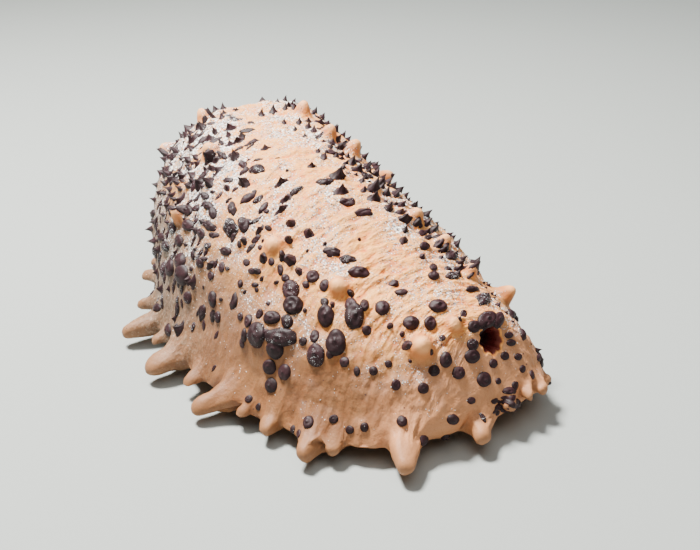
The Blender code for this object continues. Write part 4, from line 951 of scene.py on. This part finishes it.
def foot_places(draw):
    """Three staggered rows of tube feet on each side of the sole and three down its middle."""
    places = []
    for i in range(FOOT_ROWS):
        along = 0.92 * (2 * (i + 0.5) / FOOT_ROWS - 1)
        narrowing = (1 - abs(along) ** SOLE_ROUNDNESS) ** (1 / SOLE_ROUNDNESS)
        for band in FOOT_BANDS:
            if draw.random() < 0.06:
                continue
            across = (band + (0.03 if i % 2 else -0.03) + draw.uniform(-0.02, 0.02)) * narrowing
            places.append(sole_spot(np.array(along + draw.uniform(-0.008, 0.008)), np.array(across)))
    return np.array(places)


class GeometryTree:
    """A geometry node tree with named inputs, and the helpers that build it."""

    def __init__(self, name, inputs):
        self.tree = bpy.data.node_groups.new(name, "GeometryNodeTree")
        face = self.tree.interface
        face.new_socket("Geometry", in_out="INPUT", socket_type="NodeSocketGeometry")
        self.inputs = {}
        for label, kind, value in inputs:
            socket = face.new_socket(label, in_out="INPUT", socket_type=kind)
            if value is not None:
                socket.default_value = value
            self.inputs[label] = socket.identifier
        face.new_socket("Geometry", in_out="OUTPUT", socket_type="NodeSocketGeometry")
        self.start = self.tree.nodes.new("NodeGroupInput")
        self.finish = self.tree.nodes.new("NodeGroupOutput")

    def node(self, kind, settings=None, sockets=None):
        """Any node: its settings are set first, then its sockets by name or number."""
        made = self.tree.nodes.new(kind)
        for key, value in (settings or {}).items():
            setattr(made, key, value)
        for key, value in (sockets or {}).items():
            if isinstance(value, bpy.types.NodeSocket):
                self.tree.links.new(value, made.inputs[key])
            else:
                made.inputs[key].default_value = value
        return made

    def math(self, operation, first, second):
        made = self.node("ShaderNodeMath", {"operation": operation}, {0: first, 1: second})
        return made.outputs[0]

    def vector_math(self, operation, first, second):
        made = self.node("ShaderNodeVectorMath", {"operation": operation}, {0: first, 1: second})
        return made.outputs[0]

    def point(self, x, y, z):
        return self.node("ShaderNodeCombineXYZ", None, {"X": x, "Y": y, "Z": z}).outputs[0]

    def stand(self, points, instance, sockets):
        """Stands an instance on every point, realizes them, gives them the material and ends the tree."""
        stood = self.node("GeometryNodeInstanceOnPoints", None,
                          {"Points": points, "Instance": instance, **sockets})
        real = self.node("GeometryNodeRealizeInstances", None, {"Geometry": stood.outputs["Instances"]})
        coat = self.node("GeometryNodeSetMaterial", None, {
            "Geometry": real.outputs["Geometry"], "Material": self.start.outputs["Material"]})
        self.tree.links.new(coat.outputs["Geometry"], self.finish.inputs["Geometry"])

    def grow(self, name, host, values):
        """Plain mesh object that the tree makes on the host."""
        modifier = host.modifiers.new(name, "NODES")
        modifier.node_group = self.tree
        for label, value in values.items():
            modifier[self.inputs[label]] = value
        graph = bpy.context.evaluated_depsgraph_get()
        mesh = bpy.data.meshes.new_from_object(host.evaluated_get(graph))
        host.modifiers.remove(modifier)
        mesh.name = name
        item = bpy.data.objects.new(name, mesh)
        bpy.context.scene.collection.objects.link(item)
        return item


def cell_map(item, faces_each, corners):
    """Map with one cell for each of the many like pieces of a mesh."""
    mesh = item.data
    pieces = len(mesh.polygons) // faces_each
    cells = max(math.ceil(math.sqrt(pieces)), 1)
    for layer in list(mesh.uv_layers):
        mesh.uv_layers.remove(layer)
    layer = mesh.uv_layers.new(name="OFBake")
    number = np.arange(len(mesh.loops)) // (faces_each * corners)
    turn = math.tau * np.arange(len(mesh.loops)) / corners
    column = number % cells + 0.5 + 0.3 * np.cos(turn)
    line = number // cells + 0.5 + 0.3 * np.sin(turn)
    flat = np.stack([column, line], axis=-1)
    layer.data.foreach_set("uv", (flat / cells).astype(np.float32).ravel())


def make_grains(skin, material):
    """Pale sand grains that cling to the skin where the dust lies."""
    tree = GeometryTree("sand_grains", (
        ("Density", "NodeSocketFloat", 1.0), ("Smallest", "NodeSocketFloat", 0.0001),
        ("Largest", "NodeSocketFloat", 0.0003), ("Seed", "NodeSocketInt", 5),
        ("Material", "NodeSocketMaterial", None),
    ))
    start = tree.start.outputs
    dust = tree.node("GeometryNodeInputNamedAttribute", {"data_type": "FLOAT"}, {"Name": "dust"})
    density = tree.math("MULTIPLY", dust.outputs["Attribute"], start["Density"])
    spots = tree.node("GeometryNodeDistributePointsOnFaces", None, {
        "Mesh": start["Geometry"], "Density": density, "Seed": start["Seed"]})
    grain = tree.node("GeometryNodeMeshIcoSphere", None, {"Radius": 1.0, "Subdivisions": 1})
    size = tree.node("FunctionNodeRandomValue", {"data_type": "FLOAT_VECTOR"}, {
        "Min": start["Smallest"], "Max": start["Largest"]})
    spin = tree.node("FunctionNodeRandomValue", {"data_type": "FLOAT_VECTOR"}, {
        "Max": (math.tau, math.tau, math.tau)})
    tree.stand(spots.outputs["Points"], grain.outputs["Mesh"], {
        "Rotation": spin.outputs["Value"], "Scale": size.outputs["Value"]})
    smallest, largest = GRAIN_RADII
    item = tree.grow("clinging_sand", skin, {
        "Density": GRAIN_DENSITY, "Smallest": smallest, "Largest": largest, "Seed": 5, "Material": material})
    cell_map(item, 20, 3)
    return item


def make_feet(material):
    """Short tube feet with round flat pads, each standing on the floor."""
    places = foot_places(random.Random(SEED + 3))
    host = mesh_object("foot_points", places, [])
    tree = GeometryTree("tube_feet", (
        ("Pad", "NodeSocketFloat", 0.001), ("Height", "NodeSocketFloat", 0.002),
        ("Seed", "NodeSocketInt", 1), ("Material", "NodeSocketMaterial", None),
    ))
    start = tree.start.outputs
    pad = tree.node("GeometryNodeMeshCylinder", {"fill_type": "NGON"}, {
        "Vertices": 14, "Side Segments": 5, "Depth": 1.0, "Radius": 1.0})
    place = tree.node("GeometryNodeInputPosition").outputs[0]
    parts = tree.node("ShaderNodeSeparateXYZ", None, {0: place})
    waist = tree.node("ShaderNodeMapRange", {"interpolation_type": "SMOOTHSTEP"}, {
        "Value": parts.outputs["Z"], "From Min": -0.5, "From Max": -0.05, "To Min": 1.0, "To Max": 0.62})
    narrowing = waist.outputs["Result"]
    shaped = tree.vector_math("MULTIPLY", place, tree.point(narrowing, narrowing, 1.0))
    lifted = tree.vector_math("ADD", shaped, (0.0, 0.0, 0.5))
    foot = tree.node("GeometryNodeSetPosition", None, {
        "Geometry": pad.outputs["Mesh"], "Position": lifted})
    spread = tree.node("FunctionNodeRandomValue", {"data_type": "FLOAT"}, {
        2: 0.85, 3: 1.12, "Seed": start["Seed"]})
    width = tree.math("MULTIPLY", spread.outputs[1], start["Pad"])
    points = tree.node("GeometryNodeMeshToPoints", None, {"Mesh": start["Geometry"]})
    tree.stand(points.outputs["Points"], foot.outputs["Geometry"], {
        "Scale": tree.point(width, width, start["Height"])})
    item = tree.grow("sole_feet", host, {
        "Pad": FOOT_PAD, "Height": FOOT_HEIGHT, "Seed": 1, "Material": material})
    bpy.data.objects.remove(host, do_unlink=True)
    item.data.shade_smooth()
    return item


class Value:
    """Output of a shader node that can be used in plain arithmetic."""

    def __init__(self, finish, output):
        self.finish = finish
        self.output = output

    def math(self, operation, *values):
        return self.finish.math(operation, *values)

    def __add__(self, other):
        return self.math("ADD", self, other)

    def __radd__(self, other):
        return self.math("ADD", other, self)

    def __sub__(self, other):
        return self.math("SUBTRACT", self, other)

    def __rsub__(self, other):
        return self.math("SUBTRACT", other, self)

    def __mul__(self, other):
        return self.math("MULTIPLY", self, other)

    def __rmul__(self, other):
        return self.math("MULTIPLY", other, self)


class Finish:
    """A material: constants stand on its shader, and what varies is wired to it."""

    def __init__(self, name, **constants):
        self.material = bpy.data.materials.new(name)
        self.material.use_nodes = True
        self.tree = self.material.node_tree
        self.shader = self.tree.nodes["Principled BSDF"]
        for key, value in constants.items():
            self.shader.inputs[key.replace("_", " ")].default_value = value
        self.place = self.node("ShaderNodeTexCoord").outputs["Object"]
        self.mm = self.scaled(1000.0)

    def plug(self, slot, value):
        """Links a socket or a Value to the slot, or sets a number or a colour on it."""
        if isinstance(value, Value):
            self.tree.links.new(value.output, slot)
        elif isinstance(value, bpy.types.NodeSocket):
            self.tree.links.new(value, slot)
        elif isinstance(value, tuple) and len(value) == 3 and slot.type == "RGBA":
            slot.default_value = (*value, 1.0)
        else:
            slot.default_value = value

    def node(self, kind, settings=None, sockets=None):
        """Any node: its settings are set first, then its sockets by name or number."""
        made = self.tree.nodes.new(kind)
        for key, value in (settings or {}).items():
            setattr(made, key, value)
        for key, value in (sockets or {}).items():
            self.plug(made.inputs[key], value)
        return made

    def math(self, operation, *values):
        made = self.node("ShaderNodeMath", {"operation": operation}, dict(enumerate(values)))
        return Value(self, made.outputs[0])

    def scaled(self, factor):
        """The object's own coordinates times a factor, or three factors."""
        factors = factor if isinstance(factor, tuple) else (factor, factor, factor)
        made = self.node("ShaderNodeVectorMath", {"operation": "MULTIPLY"}, {0: self.place, 1: factors})
        return made.outputs[0]

    def point(self, x, y, z):
        return self.node("ShaderNodeCombineXYZ", None, {"X": x, "Y": y, "Z": z}).outputs[0]

    def parts(self):
        """The object's own x, y and z in millimetres."""
        made = self.node("ShaderNodeSeparateXYZ", None, {0: self.mm})
        return [Value(self, output) for output in made.outputs]

    def attribute(self, name):
        return Value(self, self.node("ShaderNodeAttribute", {"attribute_name": name}).outputs["Fac"])

    def noise(self, size, detail=2.0, roughness=0.5, vector=None):
        """Noise from 0 to 1 with features of the given size in millimetres."""
        made = self.node("ShaderNodeTexNoise", None, {
            "Vector": vector if vector is not None else self.mm, "Scale": 1.0 / size, "Detail": detail,
            "Roughness": roughness})
        return Value(self, made.outputs["Fac"])

    def cells(self, size, feature="F1", vector=None):
        """Cells round scattered points, with the spacing in millimetres."""
        return self.node("ShaderNodeTexVoronoi", {"feature": feature}, {
            "Vector": vector if vector is not None else self.mm, "Scale": 1.0 / size})

    def distance(self, cells):
        """Distance to the cell's own point, as a share of the spacing."""
        return Value(self, cells.outputs["Distance"])

    def step(self, value, low, high):
        """Smooth rise from 0 at low to 1 at high."""
        made = self.node("ShaderNodeMapRange", {"interpolation_type": "SMOOTHSTEP"}, {
            "Value": value, "From Min": low, "From Max": high})
        return Value(self, made.outputs["Result"])

    def mix(self, share, first, second):
        """The first colour where the share is 0 and the second where it is 1."""
        made = self.node("ShaderNodeMix", {"data_type": "RGBA"}, {0: share, 6: first, 7: second})
        return made.outputs[2]

    def limit(self, value):
        """The value kept between 0 and 1."""
        made = self.math("ADD", value, 0.0)
        made.output.node.use_clamp = True
        return made

    def wire(self, colour, roughness, bump=None):
        """Connects what varies; bump is a height in millimetres."""
        self.plug(self.shader.inputs["Base Color"], colour)
        self.plug(self.shader.inputs["Roughness"], roughness)
        if bump is not None:
            made = self.node("ShaderNodeBump", None, {"Strength": 1.0, "Distance": MM, "Height": bump})
            self.tree.links.new(made.outputs["Normal"], self.shader.inputs["Normal"])
        return self.material


def skin_finish():
    """Peach skin, orange in the grooves of the back where the deep orange is partly painted shade, tan on the
    flanks made darker than the back partly as painted shade, specked with pale sand, and the vent's lining
    darkened with depth as painted shade.
    """
    f = Finish("sea_cucumber_skin", Metallic=0.0, Specular_IOR_Level=0.35)
    dust = f.attribute("dust")
    mound = f.attribute("mound")
    tip = f.attribute("tip")
    vent = f.attribute("vent")
    flank = f.attribute("flank")
    crest = f.attribute("crest")
    along = f.attribute("along")
    x, y, z = f.parts()
    streak = f.noise(1.0, 3.0, 0.6, f.point(x * 0.09, along * 0.30, z * 0.09))
    thread = f.noise(1.0, 3.0, 0.6, f.point(x * 0.24, along * 1.1, z * 0.24))
    cloud = f.noise(12.0, 4.0, 0.6)
    mottle = f.noise(2.6, 4.0, 0.7)
    grain = f.noise(0.75, 3.0, 0.7)
    pebble = f.noise(1.25, 3.0, 0.6)
    groove = f.distance(f.cells(1.0, "SMOOTH_F1", f.point(x * 0.55, along * 1.15, z * 0.55)))
    # The ridge mask follows the relief: its low places get deep orange as painted shade in the grooves, its
    # high places pale peach.
    ridge = crest * 0.45 + pebble * 0.30 + thread * 0.20 - groove * 0.55 + 0.28

    groove_shade_orange, pale_peach, bright_orange = (0.76, 0.15, 0.010), (1.0, 0.44, 0.105), (0.84, 0.25, 0.036)
    back = f.mix(f.step(ridge, 0.20, 0.58), groove_shade_orange, pale_peach)
    back = f.mix(f.step(streak, 0.60, 0.44) * 0.30, back, bright_orange)

    # The flanks: tan, made much darker than the back partly as painted shade on the sides that face away from
    # the light from above.
    shaded_dark_tan, tan, fold_shade_brown, vent_peach = (
        (0.21, 0.081, 0.028), (0.28, 0.121, 0.046), (0.20, 0.070, 0.023), (0.78, 0.34, 0.150))
    side = f.mix(f.step(cloud, 0.35, 0.65), shaded_dark_tan, tan)
    # Brown in the low places of the crest relief on the flanks: painted shade in the folds.
    side = f.mix(f.step(crest, 0.47, 0.24) * 0.4, side, fold_shade_brown)
    side = f.mix(f.step(y, 78.0, 94.0) * 0.7, side, vent_peach)
    # The front of the flank turns dark grey: partly grey skin, partly painted shade where the front flank
    # faces away from the light.
    shaded_grey_front, pale_pebble = (0.135, 0.100, 0.068), (0.52, 0.40, 0.28)
    front = f.step(y, 45.0, -25.0)
    side = f.mix(front * 0.75, side, shaded_grey_front)
    side = f.mix(f.step(pebble, 0.50, 0.66) * front * 0.45, side, pale_pebble)
    colour = f.mix(flank, back, side)

    light_mottle, dark_grain = (0.95, 0.54, 0.28), (0.42, 0.13, 0.04)
    colour = f.mix(f.step(mottle, 0.52, 0.76) * (0.10 + 0.15 * (1.0 - flank)), colour, light_mottle)
    colour = f.mix(f.step(grain, 0.52, 0.34) * 0.30, colour, dark_grain)
    mound_foot, mound_top, papilla_brown = (0.66, 0.20, 0.045), (1.0, 0.46, 0.175), (0.33, 0.150, 0.064)
    colour = f.mix(f.step(mound, 0.05, 0.45) * 0.75, colour, mound_foot)
    colour = f.mix(f.step(mound, 0.45, 0.95) * 0.9, colour, mound_top)
    colour = f.mix(f.limit(tip * 0.8), colour, papilla_brown)
    dot = f.step(f.distance(f.cells(5.2)), 0.075, 0.045)
    colour = f.mix(dot * 0.85, colour, (0.070, 0.028, 0.028))

    black_sand, grey_sand, white_sand = (0.06, 0.06, 0.07), (0.40, 0.43, 0.46), (1.0, 1.0, 0.98)
    grey_film, shell_flake = (0.34, 0.37, 0.40), (0.90, 0.88, 0.83)
    lying = f.step(dust, 0.08, 0.24)
    patches = f.noise(4.5, 4.0, 0.7)
    fine = f.cells(0.75)
    speck = f.distance(fine) - dust * 0.55 - patches * 0.72 + 0.30
    salt = f.step(speck, 0.06, -0.06) * lying
    shade = Value(f, f.node("ShaderNodeSeparateColor", None, {0: fine.outputs["Color"]}).outputs[0])
    sand = f.mix(f.step(shade, 0.28, 0.34), black_sand, grey_sand)
    sand = f.mix(f.step(shade, 0.50, 0.56), sand, white_sand)
    coarse = f.distance(f.cells(1.25))
    flake = f.step(coarse - dust * 0.22, 0.09, 0.03) * f.step(dust, 0.02, 0.20) * f.step(mottle, 0.46, 0.54)
    colour = f.mix(f.limit(dust * 0.55) * f.step(patches, 0.35, 0.65), colour, grey_film)
    colour = f.mix(salt * 0.92, colour, sand)
    colour = f.mix(flake * 0.8, colour, shell_flake)

    # The vent's lining: dark red at the lip, then darker with depth to nearly black down the hole, as painted
    # shade in the recess.
    dark_red, shaded_deep_red, painted_vent_shadow = (0.20, 0.040, 0.025), (0.110, 0.012, 0.010), (0.030, 0.003, 0.003)
    lining = f.mix(f.step(vent, 0.22, 0.50), dark_red, shaded_deep_red)
    lining = f.mix(f.step(vent, 0.55, 0.95), lining, painted_vent_shadow)
    colour = f.mix(f.step(vent, 0.17, 0.25), colour, lining)

    rough = 0.50 + 0.12 * grain + 0.18 * salt - 0.16 * f.step(vent, 0.1, 0.5)
    calm = 1.0 - f.limit(flank * (0.65 - 0.50 * front) + mound * 0.7 + tip * 0.5)
    height = (0.40 * pebble * calm + 0.30 * thread * calm * (1.0 - flank) - 0.40 * groove * calm
              + 0.12 * mottle + 0.14 * grain + 0.10 * salt + 0.14 * flake)
    return f.wire(colour, rough, height)


def wart_finish():
    """Dark purplish brown, semi-gloss, with pale sand on the low patches and on dusty places."""
    f = Finish("wart", Metallic=0.0, Specular_IOR_Level=0.28)
    dust = f.attribute("dust")
    rim = f.attribute("rim")
    tone = f.attribute("tone")
    grain = f.noise(0.5, 3.0, 0.65)
    cloud = f.noise(1.3, 3.0, 0.6)
    near_black, dark_purple = (0.014, 0.005, 0.006), (0.031, 0.010, 0.013)
    purple_brown = (0.050, 0.017, 0.022)
    shadow, pale_sand = (0.010, 0.004, 0.005), (0.56, 0.57, 0.58)
    colour = f.mix(tone, near_black, dark_purple)
    colour = f.mix(f.step(cloud, 0.45, 0.7) * 0.5, colour, purple_brown)
    colour = f.mix(f.step(rim, 0.22, 0.05) * 0.7, colour, shadow)
    colour = f.mix(f.step(rim, 0.80, 0.97) * 0.5, colour, shadow)
    fine = f.distance(f.cells(0.50))
    patch = f.noise(2.4, 3.0, 0.7)
    salt = f.step(fine - dust * 0.55 - patch * 1.6 + 1.02, 0.06, -0.06) * f.step(dust, 0.02, 0.16)
    colour = f.mix(salt * 0.85, colour, pale_sand)
    rough = 0.48 + 0.12 * grain + 0.28 * salt
    return f.wire(colour, rough, 0.07 * grain + 0.06 * cloud + 0.10 * salt)


def sand_finish():
    """Pale and tan grains."""
    f = Finish("clinging_sand", Metallic=0.0, Specular_IOR_Level=0.5)
    tint = f.noise(0.35, 1.0)
    colour = f.mix(f.step(tint, 0.35, 0.65), (0.42, 0.36, 0.30), (0.86, 0.82, 0.75))
    return f.wire(colour, 0.45 + 0.3 * tint)


def sole_finish(name, first, second):
    """Pale skin of the underside, clouded between two colours and darker in its wrinkles."""
    f = Finish(name, Metallic=0.0)
    cloud = f.noise(6.0, 4.0, 0.6)
    fine = f.noise(0.8, 3.0, 0.6)
    colour = f.mix(f.step(cloud, 0.35, 0.65), first, second)
    colour = f.mix(f.step(fine, 0.60, 0.40) * 0.4, colour, (0.36, 0.19, 0.11))
    return f.wire(colour, 0.50 + 0.2 * fine, 0.14 * fine + 0.12 * f.noise(2.4, 3.0, 0.5))


def mouth_finish():
    """Dull brown-peach folds, dark red inside the mouth."""
    f = Finish("mouth_disc", Metallic=0.0)
    inner = f.attribute("inner")
    cloud = f.noise(2.2, 4.0, 0.6)
    fine = f.noise(0.6, 3.0, 0.6)
    colour = f.mix(f.step(cloud, 0.35, 0.65), (0.36, 0.18, 0.11), (0.50, 0.28, 0.18))
    colour = f.mix(f.step(fine, 0.60, 0.38) * 0.5, colour, (0.17, 0.075, 0.05))
    colour = f.mix(inner, colour, (0.09, 0.022, 0.018))
    return f.wire(colour, 0.42 + 0.2 * fine, 0.14 * fine + 0.10 * cloud)


def tentacle_finish():
    """Brown stalks and darker, knobbly shields."""
    f = Finish("tentacles", Metallic=0.0)
    shield = f.attribute("shield")
    knobs = f.distance(f.cells(0.75, "SMOOTH_F1"))
    cloud = f.noise(1.8, 3.0, 0.6)
    stalk = f.mix(f.step(cloud, 0.35, 0.65), (0.16, 0.085, 0.06), (0.27, 0.15, 0.10))
    tip = f.mix(f.step(knobs, 0.2, 0.6), (0.15, 0.085, 0.062), (0.055, 0.028, 0.022))
    colour = f.mix(shield, stalk, tip)
    return f.wire(colour, 0.38 + 0.2 * cloud, 0.20 * (1.0 - knobs) * shield + 0.10 * cloud)


def dress(piece, material):
    """Gives the piece its one material."""
    piece.data.materials.clear()
    piece.data.materials.append(material)


def place_piece(piece, nodes=()):
    """Puts the piece on the still body and in the place of the nodes."""
    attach(piece, "root")
    if nodes:
        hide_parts(*nodes)


def area_light(name, energy, size, place, target, colour):
    data = bpy.data.lights.new(name, "AREA")
    data.energy = energy
    data.size = size
    data.color = colour
    item = bpy.data.objects.new(name, data)
    item.location = place
    item.rotation_euler = (Vector(target) - Vector(place)).to_track_quat("-Z", "Y").to_euler()
    bpy.context.scene.collection.objects.link(item)


def make_stage():
    """Plain pale floor under soft light from above, from the front and from the far side."""
    mesh = bpy.data.meshes.new("floor")
    half = 3.0
    corners = [(-half, -half, 0), (half, -half, 0), (half, half, 0), (-half, half, 0)]
    mesh.from_pydata(corners, [], [(0, 1, 2, 3)])
    floor = bpy.data.objects.new("floor", mesh)
    bpy.context.scene.collection.objects.link(floor)
    ground = Finish("floor", Base_Color=(0.36, 0.385, 0.37, 1.0), Roughness=0.9, Metallic=0.0)
    dress(floor, ground.material)
    world = bpy.data.worlds.new("room")
    world.use_nodes = True
    background = world.node_tree.nodes["Background"]
    background.inputs["Color"].default_value = (0.86, 0.93, 0.97, 1.0)
    background.inputs["Strength"].default_value = 0.11
    bpy.context.scene.world = world
    middle = (0.0, 0.01, 0.03)
    area_light("key", 34.0, 0.18, (0.14, -0.26, 0.82), middle, (1.0, 0.98, 0.94))
    area_light("overhead", 3.2, 0.7, (0.10, 0.30, 0.80), middle, (1.0, 0.98, 0.95))
    area_light("far_side", 0.7, 0.6, (-0.7, -0.35, 0.45), middle, (0.90, 0.96, 1.0))


def make_camera():
    """Camera that sees the model as the photograph shows the animal."""
    azimuth = math.radians(CAMERA_AZIMUTH)
    elevation = math.radians(CAMERA_ELEVATION)
    back = Vector((math.sin(azimuth) * math.cos(elevation), -math.cos(azimuth) * math.cos(elevation),
                   math.sin(elevation)))
    data = bpy.data.cameras.new("camera")
    data.sensor_width = 36.0
    data.lens = 18.0 / math.tan(math.radians(CAMERA_ANGLE / 2))
    data.dof.use_dof = False
    camera = bpy.data.objects.new("camera", data)
    camera.location = Vector(CAMERA_TARGET) + back * CAMERA_DISTANCE
    camera.rotation_euler = (-back).to_track_quat("-Z", "Y").to_euler()
    bpy.context.scene.collection.objects.link(camera)
    bpy.context.scene.camera = camera


def main():
    skin, vertices, faces = make_skin()
    tree = BVHTree.FromPolygons(vertices.tolist(), faces)
    big = [row for row in LARGE_WARTS + MIDDLE_WARTS if row[2] * row[3] > BIG_WART_AREA]
    rest = [row for row in LARGE_WARTS + MIDDLE_WARTS if row[2] * row[3] <= BIG_WART_AREA]
    large = make_warts("large_warts", big, BIG_WART_GRID, tree, SEED + 11)
    rest += small_warts(random.Random(SEED + 12))
    for seed, crowd in ((SEED + 14, SHOULDER_WARTS), (SEED + 15, RIDGE_WARTS), (SEED + 16, EDGE_WARTS)):
        rest += crowded_warts(random.Random(seed), *crowd)
    small = make_warts("small_warts", rest, SMALL_WART_GRID, tree, SEED + 13)
    sand = make_grains(skin, sand_finish())
    sole_skin = sole_finish("sole_skin", (0.60, 0.38, 0.25), (0.72, 0.50, 0.36))
    sole = make_sole()
    feet = make_feet(sole_finish("foot_skin", (0.66, 0.44, 0.30), (0.78, 0.58, 0.42)))
    mouth = make_mouth()
    tentacles = make_tentacles()

    dress(skin, skin_finish())
    wart = wart_finish()
    dress(large, wart)
    dress(small, wart)
    dress(sole, sole_skin)
    dress(mouth, mouth_finish())
    dress(tentacles, tentacle_finish())

    place_piece(skin, ("body_front", "body_middle", "body_rear", "vent"))
    place_piece(large)
    place_piece(small)
    place_piece(sand)
    place_piece(sole, ("sole",))
    place_piece(feet)
    place_piece(mouth, ("mouth",))
    place_piece(tentacles, [f"tentacle_{i + 1:02d}" for i in range(TENTACLES)])
    make_stage()
    make_camera()


main()
